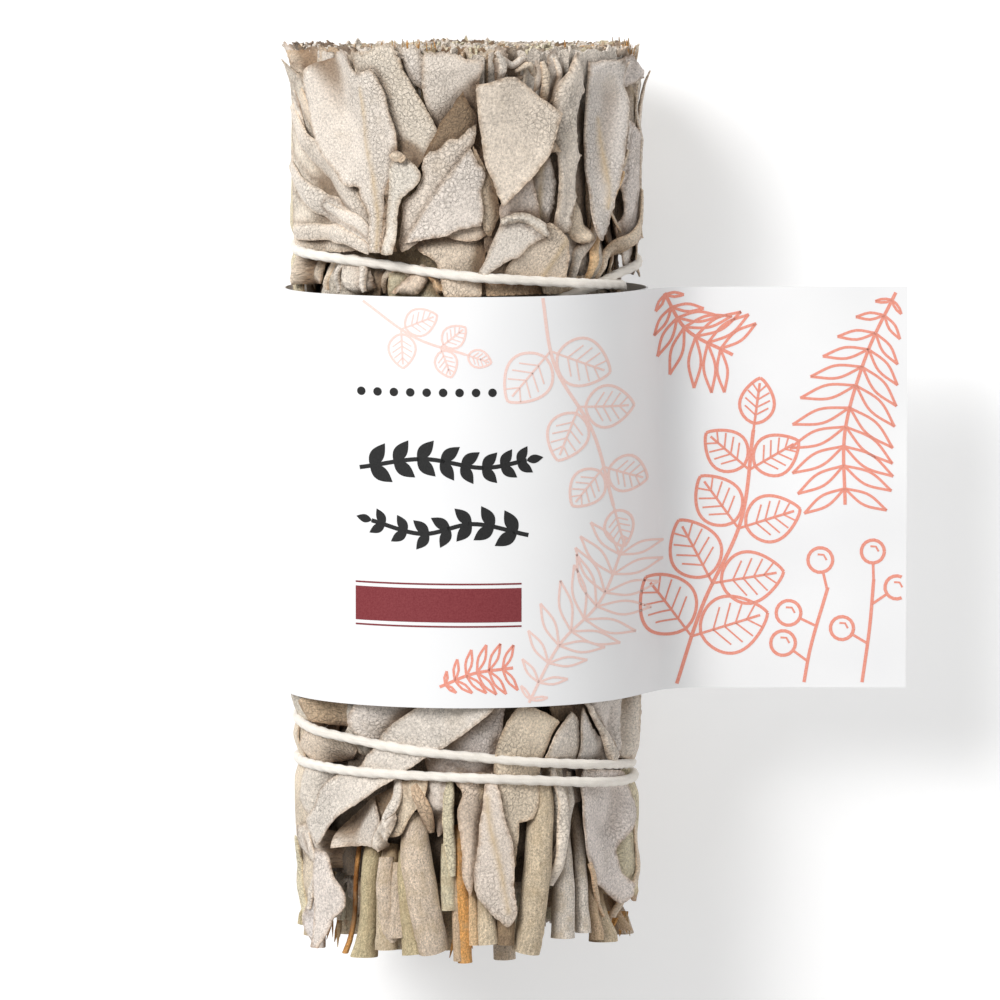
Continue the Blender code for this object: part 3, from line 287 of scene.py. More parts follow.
# Woody stems at the lower end, as seen from the front: ends in pixels, thickness
FRONT_STEMS = (
    Stem((338, 838), (336, 958), 1.0, "orange"),
    Stem((354, 836), (354, 962), 3.6, "barkgreen"),
    Stem((378, 850), (381, 955), 2.8, "bark"),
    Stem((399, 856), (411, 960), 3.0, "barkgreen"),
    Stem((388, 870), (394, 943), 2.9, "barkgrey"),
    Stem((446, 850), (449, 915), 1.9, "green"),
    Stem((455, 870), (459, 966), 1.2, "brown"),
    Stem((460, 830), (466, 968), 1.7, "orange"),
    Stem((484, 880), (488, 950), 3.2, "bark"),
    Stem((473, 860), (474, 950), 1.2, "tan"),
    Stem((512, 850), (508, 950), 2.2, "dark"),
    Stem((575, 790), (571, 943), 2.9, "pale"),
    Stem((592, 800), (590, 937), 1.9, "pale"),
    Stem((606, 850), (604, 944), 1.6, "brown"),
    Stem((619, 860), (618, 946), 3.5, "bark"),
    Stem((638, 830), (636, 934), 1.5, "brown"),
)
LATE_STEMS = (
    Stem((405, 818), (432, 956), 4.0, "barkgrey"),
    Stem((551, 784), (531, 957), 3.5, "bark"),
    Stem((379, 862), (386, 945), 2.4, "barkgrey"),
)

# The string's way: angle round the axis, which goes on growing, and place along it
STRING_WAY = (
    (128, -31.6), (138, -29.2), (158, -25.6), (190, -22.0), (225, -18.5), (270, -14.5), (400, -6.0),
    (540, 5.0), (680, 17.5), (768, 26.6), (812, 29.2), (900, 31.8), (990, 31.3), (1035, 30.2),
    (1080, 28.6), (1125, 27.4), (1170, 26.2), (1240, 22.0), (1400, 5.0), (1560, -11.0), (1660, -21.0),
    (1710, -25.0), (1755, -26.4), (1800, -28.0), (1845, -29.6), (1890, -31.0), (1980, -31.2),
    (2070, -30.3), (2160, -30.5), (2250, -32.6), (2283, -32.4),
)
# The knot's place and the ways of its two ends, both at the back
KNOT = (125.5, -32.2)
TAILS = (((124, -32.6), (117, -35.2), (112, -38.6)), ((127, -31.8), (132, -34.6), (131, -38.0)))

# The grid on which the pile's level is kept
GRID_LOW = -60.0
N_ROUND = 525
CELL = 2 * math.pi * RADIUS / N_ROUND
N_ALONG = 488
TO_LENGTH = math.radians(1) * RADIUS

# How thick the settled bundle is, from which level on it is squeezed, its highest level under
# the sleeve, and how far the string and the sleeve press it in
SETTLED = 21.0
SETTLE_FROM = 14.5
SQUEEZE_TOP = 21.2
STRING_PRESS = 1.15
SLEEVE_PRESS = 0.4

# Leaf blades: thickness, room between blades, and spacing of the mesh's points inside a leaf
# and along its margin
BLADE = 0.28
ROOM = 0.04
SPACING = 0.5
MARGIN_STEP = 0.32

# The cut ends: foot of the leaves on edge, how far they lean inwards there, how far from the
# axis they reach at the leafy and at the lower end, the stems' rings, and the inside, painted dark as shade
WALL_FOOT = 45.5
WALL_LEAN = 0.13
WALL_REACH, LOW_WALL_REACH = 19.3, 15.8
OUTER_RING, INNER_RING = 14.8, 8.2
CORE_RADIUS = 16.7

# How many woody stems show at the back
BACK_STEMS = 17

# The second material of a bundle piece, for wood
BARK = 1

# Painted shade: towards the bottom of a gap leaves are painted darker by a share of red, green
# and blue, from a depth on and over a further depth. Beside a margin a painted shadow darkens
# them over a narrow width.
CREVICE_SHADE = np.array([0.58, 0.66, 0.73])
CREVICE_SHADE_FROM, CREVICE_SHADE_OVER = 0.75, 1.4
EDGE_SHADOW = np.array([0.52, 0.59, 0.64])
SHADOW_WIDTH = 0.38


def linear(look, share=1.0):
    """A colour out of 255 as light, times a share."""
    parts = []
    for value in LOOKS[look]:
        c = value / 255
        parts.append(GAIN * share * (c / 12.92 if c <= 0.04045 else ((c + 0.055) / 1.055) ** 2.4))
    return np.array(parts) * min(1.0, BRIGHTEST / max(parts))


def smooth_step(x):
    """A smooth rise from 0 to 1 while x goes from 0 to 1."""
    x = np.clip(x, 0.0, 1.0)
    return x * x * (3 - 2 * x)


def wrap(angle):
    """The angle in degrees, from -180 to 180."""
    return (np.asarray(angle) + 180.0) % 360.0 - 180.0


def seen_from_front(pixel):
    """Length round and place along of what shows at a pixel of the photograph."""
    across = (pixel[0] - PIXEL_X) * PIXEL
    along = (PIXEL_Y - pixel[1]) * PIXEL
    angle = math.asin(max(-0.99, min(0.99, across / RADIUS)))
    depth = RADIUS * math.cos(angle)
    return angle * RADIUS, along + (CAMERA_TILT - along / CAMERA_AWAY) * depth


def grid_of(a, b):
    """Every pair of a value of a and one of b."""
    return np.stack(np.meshgrid(a, b, indexing="ij"), -1)


def cells_of(lengths, along):
    """The cells nearest to places."""
    i = np.round(np.asarray(lengths) / CELL).astype(int) % N_ROUND
    j = np.clip(np.round((np.asarray(along) - GRID_LOW) / CELL).astype(int), 0, N_ALONG - 1)
    return i, j


def across_of(way):
    """Unit vectors to the right of ways in a plane."""
    return np.stack([way[:, 1], -way[:, 0]], 1) / np.maximum(np.linalg.norm(way, axis=1), 1e-9)[:, None]


def texture_key():
    """A random place in the textures, so that no two parts show the same stretch."""
    return rng.uniform(0, 400)


class Waves:
    """Smooth random waves over a plane, from a few sines."""

    def __init__(self, length, count=7):
        turn = noise_rng.uniform(0, 2 * math.pi, count)
        size = 2 * math.pi / (length * noise_rng.uniform(0.6, 1.7, count))
        self.way = np.stack([np.cos(turn) * size, np.sin(turn) * size])
        self.phase = noise_rng.uniform(0, 2 * math.pi, count)

    def __call__(self, places):
        return np.sin(places @ self.way + self.phase).mean(axis=-1) * 1.6

    def along(self, at, row=0):
        """The waves along a straight row of the plane."""
        return self(np.stack([at, 0 * at + row], 1))


class Pile:
    """How high the leaves are piled, on a grid round and along the bundle."""

    def __init__(self):
        self.level = np.zeros((N_ROUND, N_ALONG))
        # The painted shadow beside leaf margins, cleared where a leaf covers it
        self.edge = np.zeros((N_ROUND, N_ALONG))

    def darken(self, low, high, distance):
        """Marks the shadow beside a leaf's margin, and clears it where the leaf covers it."""
        i, j = self.window(low, high, 3)
        cells = grid_of(i * CELL, GRID_LOW + j * CELL)
        away = distance(cells.reshape(-1, 2)).reshape(len(i), len(j))
        old = self.edge[np.ix_(i % N_ROUND, j)]
        shadow = np.exp(-((np.maximum(away, 0) / SHADOW_WIDTH) ** 2))
        self.edge[np.ix_(i % N_ROUND, j)] = np.where(away < 0, 0.0, np.maximum(old, shadow))

    def window(self, low, high, reach):
        """The cells from low to high and reach further. Those round the bundle may pass its seam."""
        i = np.arange(math.floor(low[0] / CELL) - reach, math.ceil(high[0] / CELL) + reach + 1)
        first, last = (low[1] - GRID_LOW) / CELL, (high[1] - GRID_LOW) / CELL
        j = np.arange(math.floor(first) - reach, math.ceil(last) + reach + 1)
        j = j[(j >= 0) & (j < N_ALONG)]
        return i, j

    def at(self, lengths, along):
        """The level of the cells nearest to places."""
        return self.level[cells_of(lengths, along)]

    def settle(self):
        """Works out how far the pile is squeezed, so that it ends at the bundle's own thickness."""
        past_seam = 40
        rows = np.concatenate([self.level[-past_seam:], self.level, self.level[:past_seam]])
        near = averaged(shifted_best(rows, 4), 3)[past_seam:-past_seam]
        broad = averaged(averaged(averaged(shifted_best(rows, 5), 7), 12), 12)[past_seam:-past_seam]
        self.top = np.concatenate([near, near[:2]])
        self.edge = np.concatenate([self.edge, self.edge[:2]])
        place = (GRID_LOW + CELL * np.arange(N_ALONG))[None, :]
        goal = SETTLED - 0.25 * (place < 0) - 0.4 * smooth_step((-43 - place) / 5)
        ratio = np.minimum(1.0, (goal - SETTLE_FROM) / (broad - SETTLE_FROM))
        self.ratio = np.concatenate([ratio, ratio[:2]])
        self.press = np.concatenate([make_press()] * 2)[: N_ROUND + 2]

    def read(self, values, lengths, along):
        """A grid's values at places, between its cells."""
        x = (np.asarray(lengths) / CELL) % N_ROUND
        return bilinear(values, x, (np.asarray(along) - GRID_LOW) / CELL)

    def in_space(self, lengths, along, level):
        """The place in space of a level over the axis, pressed by string, sleeve and floor."""
        angle = np.asarray(lengths) / RADIUS
        radius = SETTLE_FROM + (level - SETTLE_FROM) * self.read(self.ratio, lengths, along)
        radius = radius - self.read(self.press, lengths, along)
        held = (along > SLEEVE_LOW - 0.4) & (along < SLEEVE_HIGH + 0.4)
        radius = np.where(held, np.minimum(radius, SQUEEZE_TOP), radius)
        height = AXIS_HEIGHT + radius * np.cos(angle)
        low = 3.0
        pushed = low - (low - 0.25) * np.tanh((low - height) / (low - 0.25))
        height = np.where(height < low, pushed, height)
        return np.stack([radius * np.sin(angle), np.asarray(along) + 0 * angle, height], -1)


def neighbours(values, reach, axis):
    """The values shifted by up to reach cells both ways along an axis."""
    padded = np.pad(values, [(reach, reach) if a == axis else (0, 0) for a in range(values.ndim)], "edge")
    return [np.take(padded, np.arange(k, k + values.shape[axis]), axis) for k in range(2 * reach + 1)]


def shifted_best(values, reach):
    """The highest value within reach cells, along both axes."""
    for axis in (0, 1):
        values = np.max(neighbours(values, reach, axis), axis=0)
    return values


def averaged(values, reach):
    """The average of the values within reach cells, along both axes."""
    for axis in (0, 1):
        values = sum(neighbours(values, reach, axis)) / (2 * reach + 1)
    return values


def bilinear(values, x, y):
    """Values of a grid at places between its points."""
    x = np.clip(x, 0, values.shape[0] - 1.001)
    y = np.clip(y, 0, values.shape[1] - 1.001)
    i, j = x.astype(int), y.astype(int)
    u, v = x - i, y - j
    return (
        values[i, j] * (1 - u) * (1 - v) + values[i + 1, j] * u * (1 - v)
        + values[i, j + 1] * (1 - u) * v + values[i + 1, j + 1] * u * v
    )


def inside_outline(places, outline):
    """Which places lie inside a closed outline."""
    found = np.zeros(len(places), bool)
    x, y = places[:, 0], places[:, 1]
    for a, b in zip(outline, np.roll(outline, -1, 0)):
        if a[1] == b[1]:
            continue
        crosses = (a[1] > y) != (b[1] > y)
        found ^= crosses & (x < (b[0] - a[0]) * (y - a[1]) / (b[1] - a[1]) + a[0])
    return found


def distance_to_line(places, line, closed=False):
    """How far each place is from a line of points."""
    line = np.asarray(line, float)
    starts, ends = (line, np.roll(line, -1, 0)) if closed else (line[:-1], line[1:])
    best = np.full(len(places), 1e9)
    for a, b in zip(starts, ends):
        way = b - a
        share = np.clip(((places - a) @ way) / max(way @ way, 1e-9), 0, 1)
        best = np.minimum(best, np.hypot(*(places - a - share[:, None] * way).T))
    return best


def between(t, a, b, leaving, arriving):
    """A point of the smooth curve from a to b, with the slopes at both ends."""
    return ((2 * t**3 - 3 * t**2 + 1) * a + (t**3 - 2 * t**2 + t) * leaving
            + (3 * t**2 - 2 * t**3) * b + (t**3 - t**2) * arriving)


def curve(points, steps=24):
    """A smooth curve through a few points."""
    points = np.asarray(points, float)
    n = len(points)
    slope = np.gradient(points, axis=0)
    found = []
    for k in range(n - 1):
        for t in np.linspace(0, 1, steps, endpoint=k == n - 2):
            found.append(between(t, points[k], points[k + 1], slope[k], slope[k + 1]))
    return np.array(found)


def run_of(line):
    """How far along a line each of its points is."""
    return np.concatenate([[0], np.cumsum(np.linalg.norm(np.diff(line, axis=0), axis=1))])


def read_off(line, length, at):
    """Points of a line at other lengths along it."""
    return np.stack([np.interp(at, length, line[:, a]) for a in range(line.shape[1])], -1)


def sheet_faces(n, m, outward):
    """Both sides and the rim of a sheet of n by m points, the second side's after the first's."""
    half = n * m
    one, other = (0, half) if outward else (half, 0)
    faces = []
    for a in range(n - 1):
        for b in range(m - 1):
            c = a * m + b + one
            faces.append((c, c + m, c + m + 1, c + 1))
            c = a * m + b + other
            faces.append((c, c + 1, c + m + 1, c + m))
    rim = list(range(m)) + [a * m + m - 1 for a in range(1, n)]
    rim += [(n - 1) * m + b for b in range(m - 2, -1, -1)] + [a * m for a in range(n - 2, 0, -1)]
    for a, b in zip(rim, rim[1:] + rim[:1]):
        if not outward:
            a, b = b, a
        faces.append((a, b, b + half, a + half))
    return faces


def tube_faces(rings, sides):
    """A closed tube of rings of points."""
    faces = []
    for a in range(rings - 1):
        for k in range(sides):
            b, c = a * sides + k, a * sides + (k + 1) % sides
            faces.append((b, c, c + sides, b + sides))
    faces.append(tuple(range(sides))[::-1])
    faces.append(tuple(range((rings - 1) * sides, rings * sides)))
    return faces


def rounded(outline, step):
    """Points a step apart on a closed curve through an outline, sharp at its sharp corners."""
    outline = np.asarray(outline, float)
    n = len(outline)
    tangents = []
    for k in range(n):
        before, after = outline[k] - outline[k - 1], outline[(k + 1) % n] - outline[k]
        turn = (before @ after) / max(np.linalg.norm(before) * np.linalg.norm(after), 1e-9)
        tangents.append((before + after) / 2 if turn > 0.45 else np.zeros(2))
    places = []
    for k in range(n):
        a, b = outline[k], outline[(k + 1) % n]
        length = np.linalg.norm(b - a)
        ta, tb = tangents[k], tangents[(k + 1) % n]
        ta = ta * min(1.0, length / max(np.linalg.norm(ta), 1e-9))
        tb = tb * min(1.0, length / max(np.linalg.norm(tb), 1e-9))
        count = max(1, round(length / step))
        for t in np.arange(count) / count:
            places.append(between(t, a, b, ta, tb))
    return np.array(places)


def worn(outline):
    """A margin with fine scallops and nicks, ragged where it was cut at the leafy end."""
    n = len(outline)
    side = across_of(np.roll(outline, -1, 0) - np.roll(outline, 1, 0))
    at = np.arange(n) * MARGIN_STEP
    scallop = 0.05 * np.abs(np.sin(at * math.pi / 1.1 + rng.uniform(0, 3)))
    slow = np.convolve(np.tile(noise_rng.normal(0, 1, n), 3), np.ones(5) / 5, "same")[n : 2 * n]
    fast = noise_rng.normal(0, 1, n)
    ragged = 0.16 * smooth_step((outline[:, 1] - LEAFY_END + 1.6) / 1.2)
    shift = scallop + 0.07 * slow + 0.02 * fast + ragged * noise_rng.normal(0, 1, n)
    return outline + side * shift[:, None]


def placed(name, data):
    """A new object in the scene."""
    obj = bpy.data.objects.new(name, data)
    bpy.context.scene.collection.objects.link(obj)
    return obj


class Piece:
    """Collects the points, faces and attributes of one mesh object."""

    def __init__(self, name):
        self.name = name
        self.places, self.faces, self.tone, self.local, self.looks, self.laid = [], [], [], [], [], []
        self.count = 0

    def add(self, places, faces, tone, local, look=0, laid=False):
        """Adds a part. A laid one has its points as (length round, place along, level).

        The number in laid is also its share of the shadow beside leaf margins."""
        self.places.append(np.asarray(places, float))
        self.laid.append(laid)
        self.tone.append(np.asarray(tone, float))
        self.local.append(np.asarray(local, float))
        self.faces += [tuple(int(v) + self.count for v in face) for face in faces]
        self.looks += [look] * len(faces)
        self.count += len(places)

    def settle(self, pile):
        """Paints shade on what lies deep in a gap and a shadow beside a margin, and puts laid parts in
        space.
        """
        for k, places in enumerate(self.places):
            if not self.laid[k]:
                continue
            sunk = pile.read(pile.top, places[:, 0], places[:, 1]) - places[:, 2]
            sunk = sunk * pile.read(pile.ratio, places[:, 0], places[:, 1])
            # Painted shade: darker towards the bottom of the gaps between leaves
            self.tone[k][:, :3] *= 1 - CREVICE_SHADE * smooth_step((sunk - CREVICE_SHADE_FROM) / CREVICE_SHADE_OVER)[:, None]
            # Painted shadow beside the margins of leaves that lie over this part
            beside = pile.read(pile.edge, places[:, 0], places[:, 1])
            self.tone[k][:, :3] *= 1 - self.laid[k] * EDGE_SHADOW * beside[:, None]
            self.places[k] = pile.in_space(*places.T)

    def build(self, materials, sharp=50):
        mesh = bpy.data.meshes.new(self.name)
        places = np.concatenate(self.places)
        mesh.from_pydata((places * MM).tolist(), [], self.faces)
        for made in materials:
            mesh.materials.append(made)
        mesh.polygons.foreach_set("material_index", self.looks)
        tone = mesh.attributes.new("tone", "FLOAT_COLOR", "POINT")
        tone.data.foreach_set("color", np.concatenate(self.tone).astype(np.float32).ravel())
        local = mesh.attributes.new("local", "FLOAT_VECTOR", "POINT")
        local.data.foreach_set("vector", np.concatenate(self.local).astype(np.float32).ravel())
        mesh.shade_smooth()
        mesh.set_sharp_from_angle(angle=math.radians(sharp))
        mesh.validate()
        return placed(self.name, mesh)


def string_line():
    """The string's way with a point every couple of degrees, round and along."""
    x, y = np.array(STRING_WAY, float).T
    slope = np.diff(y) / np.diff(x)
    tangent = np.concatenate([[slope[0]], (slope[1:] + slope[:-1]) / 2, [slope[-1]]])
    tangent[1:-1][slope[1:] * slope[:-1] <= 0] = 0.0
    at = np.arange(x[0], x[-1], 1.0)
    k = np.clip(np.searchsorted(x, at, "right") - 1, 0, len(x) - 2)
    h = x[k + 1] - x[k]
    t = (at - x[k]) / h
    return at, between(t, y[k], y[k + 1], h * tangent[k], h * tangent[k + 1])


def make_press():
    """How far the bundle is pressed in by the string and the sleeve, on the grid."""
    press = np.zeros((N_ROUND, N_ALONG))
    angle, along = string_line()
    i = np.round(angle / 360 * N_ROUND).astype(int) % N_ROUND
    j = np.round((along - GRID_LOW) / CELL).astype(int)
    press[i, j] = 1.0
    press = shifted_best(press, 2)
    past_seam = 20
    rows = np.concatenate([press[-past_seam:], press, press[:past_seam]])
    for _ in range(2):
        rows = averaged(rows, 4)
    press = STRING_PRESS * rows[past_seam:-past_seam] / rows.max()
    place = (GRID_LOW + CELL * np.arange(N_ALONG))[None, :]
    outside = np.maximum(place - SLEEVE_HIGH, SLEEVE_LOW - place)
    return press + SLEEVE_PRESS * smooth_step(1 - (outside + 1.0) / 5.0)


def owner_of(lengths):
    """Which outer leafy stem a length round the bundle lies in."""
    angle = float(wrap(math.degrees(lengths / RADIUS)))
    for k, low in enumerate(OUTER_EDGES):
        high = OUTER_EDGES[k + 1] if k + 1 < len(OUTER_EDGES) else OUTER_EDGES[0] + 360
        if low <= angle < high or low <= angle + 360 < high:
            return k
    raise ValueError(angle)


def finer(values):
    """A grid with points put in halfway along both axes."""
    for axis in (0, 1):
        values = np.moveaxis(values, axis, 0)
        out = np.empty((2 * len(values) - 1,) + values.shape[1:])
        out[::2] = values
        out[1::2] = (values[1:] + values[:-1]) / 2
        values = np.moveaxis(out, 0, axis)
    return values


def running(values, reach, best=False):
    """The average, or the highest, of each value's neighbours."""
    stack = neighbours(values, reach, 0)
    return np.max(stack, 0) if best else np.mean(stack, 0)


def lay_strip(pile, pieces, path, width, look, form):
    """Lays a narrow rolled or folded leaf over the pile, along a path of (length round, along)."""
    line = curve(path, 12)
    length = run_of(line)
    at = np.linspace(0, length[-1], max(6, round(length[-1] / MARGIN_STEP)))
    line = read_off(line, length, at)
    keep = line[:, 1] < LEAFY_END + rng.uniform(-0.3, 0.3)
    line, at = line[keep], at[keep]
    n, m = len(line), 11
    if n < 4:
        return
    side = across_of(np.gradient(line, axis=0))
    share = np.linspace(0, 1, n)
    sway = Waves(4.0)
    swell = 1 + 0.16 * sway.along(at)
    taper = 0.3 + 0.7 * np.sin(math.pi * (0.06 + 0.88 * share)) ** 0.7
    half = width / 2 * taper * swell
    u = np.linspace(-1, 1, m)
    flat = line[:, None] + side[:, None] * (half[:, None] * u)[..., None]
    below = pile.at(flat[..., 0], flat[..., 1])
    base = running(running(below[:, 2:-2].max(1), 3, True), 5)
    rise = (0.24 * width + 0.16) * taper * (1 + 0.3 * sway.along(at, 9))
    lean = rng.uniform(-0.25, 0.25)
    sharp = 1.35 if form == "fold" else 2.3
    hump = 1 - np.abs(np.clip(u - lean * (1 - u * u), -1, 1)) ** sharp
    fine = Waves(1.8)
    level = base[:, None] - 0.22 + rise[:, None] * hump + 0.09 * fine(flat)
    level = np.maximum(level, np.minimum(below, base[:, None]) + ROOM - 0.3 * np.abs(u) ** 4)

    spread = finer(finer(flat.reshape(n, m, 2)))
    covered = cells_of(spread[..., 0], spread[..., 1])
    low, high = flat.reshape(-1, 2).min(0) - 1, flat.reshape(-1, 2).max(0) + 1
    pile.darken(low, high, lambda cells: distance_to_line(cells, line) - width / 2)
    pile.edge[covered] = 0
    np.maximum.at(pile.level, covered, finer(finer(level)) + BLADE)

    places = np.concatenate([
        np.column_stack([flat.reshape(-1, 2), level.ravel()]),
        np.column_stack([flat.reshape(-1, 2), level.ravel() + BLADE]),
    ])
    tint = np.append(linear(look, rng.uniform(0.93, 1.05)), 0.0)
    tone = np.tile(tint, (n * m, 1))
    rim_tan = np.tile(np.abs(u) ** 6, n)[:, None]
    tone[:, :3] *= 1 + rim_tan * np.array([0.02, -0.06, -0.15])
    local = np.stack([np.repeat(at, m), (half[:, None] * u).ravel() + 0.3, np.full(n * m, texture_key())], 1)
    owner = pieces[owner_of(line[n // 2, 0])]
    owner.add(places, sheet_faces(n, m, True), np.tile(tone, (2, 1)), np.tile(local, (2, 1)), laid=True)


def lay_leaf(pile, pieces, outline, look, form, rib=(), shade=1.0):
    """Lays one leaf over the pile: outline is (length round, place along) in millimetres."""
    form = FORMS[form]
    smooth = rounded(outline, 0.8)
    if smooth[:, 0] @ np.roll(smooth[:, 1], -1) < smooth[:, 1] @ np.roll(smooth[:, 0], -1):
        smooth = smooth[::-1]
    edge = worn(rounded(smooth, MARGIN_STEP))
    low, high = edge.min(0), edge.max(0)
    grid = grid_of(np.arange(low[0], high[0], SPACING), np.arange(low[1], high[1], SPACING * 0.87))
    grid[:, 1::2, 0] += SPACING / 2
    inner = grid.reshape(-1, 2) + noise_rng.uniform(-0.06, 0.06, (grid.size // 2, 2))
    inner = inner[inside_outline(inner, edge)]
    inner = inner[distance_to_line(inner, edge[::2], True) > 0.26]
    if len(rib):
        run = curve(rib, 5 + round(float(np.hypot(*(np.asarray(rib)[-1] - np.asarray(rib)[0]))) / 1.2))
        run = run[inside_outline(run, edge)]
        if len(run):
            run = run[distance_to_line(run, edge[::2], True) > 0.3]
        if len(run) > 1:
            inner = np.concatenate([inner[distance_to_line(inner, run) > 0.22], run])
    points = np.concatenate([edge, inner])
    n = len(edge)
    made = geometry.delaunay_2d_cdt([Vector(p) for p in points], [(k, (k + 1) % n) for k in range(n)],
                                    [list(range(n))], 1, 1e-6)
    flat = np.array([tuple(v) for v in made[0]])
    triangles = [t for t in made[2] if len(t) == 3]
    if len(triangles) < 2:
        return

    reach = max(2, round(form.ride / CELL))
    i, j = pile.window(low, high, 2 * reach)
    below = pile.level[np.ix_(i % N_ROUND, j)]
    ride = averaged(shifted_best(below, reach), max(1, reach // 2))
    ride = averaged(ride, max(1, reach // 2))
    slow, fine = Waves(7.0), Waves(2.2)
    lifted = Waves(5.0)
    middle = np.asarray(rib if len(rib) else [flat.mean(0)], float)

    def height(places):
        depth = distance_to_line(places, smooth, True)
        share = np.clip(depth / form.inside, 0, 1)
        level = form.rise * np.sqrt(1 - (1 - share) ** 2)
        level = level + form.wave * (slow(places) + 0.35 * fine(places)) * smooth_step(depth / 1.2)
        level = level + form.curl * np.maximum(lifted(places), 0) * np.exp(-depth / 0.7) * 2.2
        if len(rib):
            level = level + 0.22 * np.exp(-((distance_to_line(places, middle) / 0.3) ** 2))
        return level

    cells = grid_of(i * CELL, GRID_LOW + j * CELL)
    covered = inside_outline(cells.reshape(-1, 2), edge)
    risen = np.zeros(len(covered))
    risen[covered] = height(cells.reshape(-1, 2)[covered])
    lowest = ride + ROOM
    tops = lowest + BLADE + risen.reshape(lowest.shape)
    new = np.where(covered.reshape(lowest.shape), np.maximum(below, tops), below)
    pile.level[np.ix_(i % N_ROUND, j)] = new

    def beside(at):
        return distance_to_line(at, edge[::2], True) * (1 - 2 * inside_outline(at, edge))

    pile.darken(low, high, beside)

    x, y = flat[:, 0] / CELL - i[0], (flat[:, 1] - GRID_LOW) / CELL - j[0]
    bottom = bilinear(ride, x, y) + ROOM + height(flat)
    count = len(flat)
    rim_count = {}
    for a, b, c in triangles:
        for edge_ends in ((a, b), (b, c), (c, a)):
            rim_count[edge_ends] = rim_count.get(edge_ends, 0) + 1
    rim = [e for e in rim_count if (e[1], e[0]) not in rim_count]
    faces = [(a, c, b) for a, b, c in triangles]
    faces += [(a + count, b + count, c + count) for a, b, c in triangles]
    faces += [(a, b, b + count, a + count) for a, b in rim]
    places = np.concatenate([
        np.column_stack([flat, bottom]), np.column_stack([flat, bottom + BLADE])
    ])

    centre = flat.mean(0)
    spread_way = np.linalg.svd(flat - centre, full_matrices=False)[2][0]
    local_x = (flat - centre) @ spread_way
    local_y = (flat - centre) @ np.array([-spread_way[1], spread_way[0]])
    local = np.stack([local_x, local_y, np.full(count, texture_key())], 1)
    tint = linear(look, shade * rng.uniform(0.93, 1.05))
    tint = tint * (1 + np.array([rng.uniform(-0.02, 0.02), 0, rng.uniform(-0.03, 0.03)]))
    margin = np.exp(-distance_to_line(flat, smooth, True) / 0.16)[:, None]
    tint = tint * (1 + margin * np.array([0.02, -0.06, -0.16]))
    ribbed = np.exp(-((distance_to_line(flat, middle) / 0.34) ** 2)) if len(rib) else np.zeros(count)
    tone = np.column_stack([tint, ribbed])
    owner = pieces[owner_of(centre[0])]
    owner.add(places, faces, np.tile(tone, (2, 1)), np.tile(local, (2, 1)), laid=True)


# Half widths of rule-placed leaves, at shares of their length
SHAPES = {
    "lance": ((0, 0.16), (0.15, 0.35), (0.35, 0.8), (0.55, 1.0), (0.75, 0.8), (0.92, 0.38), (1, 0.05)),
    "broad": ((0, 0.14), (0.12, 0.18), (0.3, 0.6), (0.5, 0.95), (0.75, 1.0), (0.92, 0.7), (1, 0.3)),
    "strap": ((0, 0.45), (0.2, 0.75), (0.5, 1.0), (0.8, 0.95), (1, 0.7)),
    "shard": ((0, 0.25), (0.3, 0.7), (0.6, 1.0), (0.85, 0.85), (1, 0.4)),
}


def leaf_outline(base, tip, width, shape, bow):
    """An outline from a leaf's foot to its tip, both (degrees round, place along)."""
    start = np.array([base[0] * TO_LENGTH, base[1]])
    way = np.array([tip[0] * TO_LENGTH, tip[1]]) - start
    side = np.array([way[1], -way[0]]) / np.linalg.norm(way)
    left, right = [], []
    for share, half in SHAPES[shape]:
        middle = start + way * share + side * bow * 4 * share * (1 - share)
        left.append(middle - side * width / 2 * half * rng.uniform(0.85, 1.1))
        right.append(middle + side * width / 2 * half * rng.uniform(0.85, 1.1))
    outline = np.array(left + right[::-1])
    outline[:, 1] = np.minimum(outline[:, 1], LEAFY_END + 0.1 + rng.uniform(-0.4, 0.1))
    shares = np.array([0.05, 0.4, 0.7, 0.9])[:, None]
    rib = start + way * shares + side * bow * 4 * shares * (1 - shares)
    return outline, rib[rib[:, 1] < LEAFY_END - 0.5]


def lay_rule_strip(pile, pieces, base, tip, width, look, form):
    """A strip from somewhere past its foot to its tip, bent a little to one side."""
    start = np.array([base[0] * TO_LENGTH, base[1]])
    end = np.array([tip[0] * TO_LENGTH, tip[1]])
    start = start + rng.uniform(0.0, 0.45) * (end - start)
    side = np.array([rng.uniform(-1.6, 1.6), 0])
    lay_strip(pile, pieces, [start, (start + end) / 2 + side, end], width, look, form)


# Leaves placed by rule over the sides and the back: where round the bundle, in degrees, and
# ranges of size, turn and bow. The short ones near the end have ranges of their own.
Zone = namedtuple("Zone", "start span kinds narrow wide turn_narrow turn_wide short_foot short_tip foot tip "
                  "shapes bow looks")
PLAIN = ("grey", "warm", "pale", "cool", "grey", "green")
TOP_ZONE = Zone(84, 192, ("flat", "soft", "soft", "fold", "soft", "flat"), (2.8, 4.6), (6.5, 11), 13, 22,
                (44, 50), (28, 36), (17, 29), lambda: rng.choice((59.0, 59.0, 52.0, 46.0)),
                ("lance", "broad", "shard", "strap"), 1.2, PLAIN)
LOW_ZONE = Zone(86, 188, ("flat", "soft", "soft", "fold", "flat"), (2.6, 4.4), (5.5, 9), 14, 24,
                (-38, -34), (-24, -22), (-28, -14), lambda: rng.uniform(-50, -40),
                ("lance", "lance", "shard", "strap"), 1.0, PLAIN + ("brown",))
RULE_LEAVES = 56
PADS = 17
# Steps of this share of a zone's span spread its leaves evenly
GOLDEN = 0.618


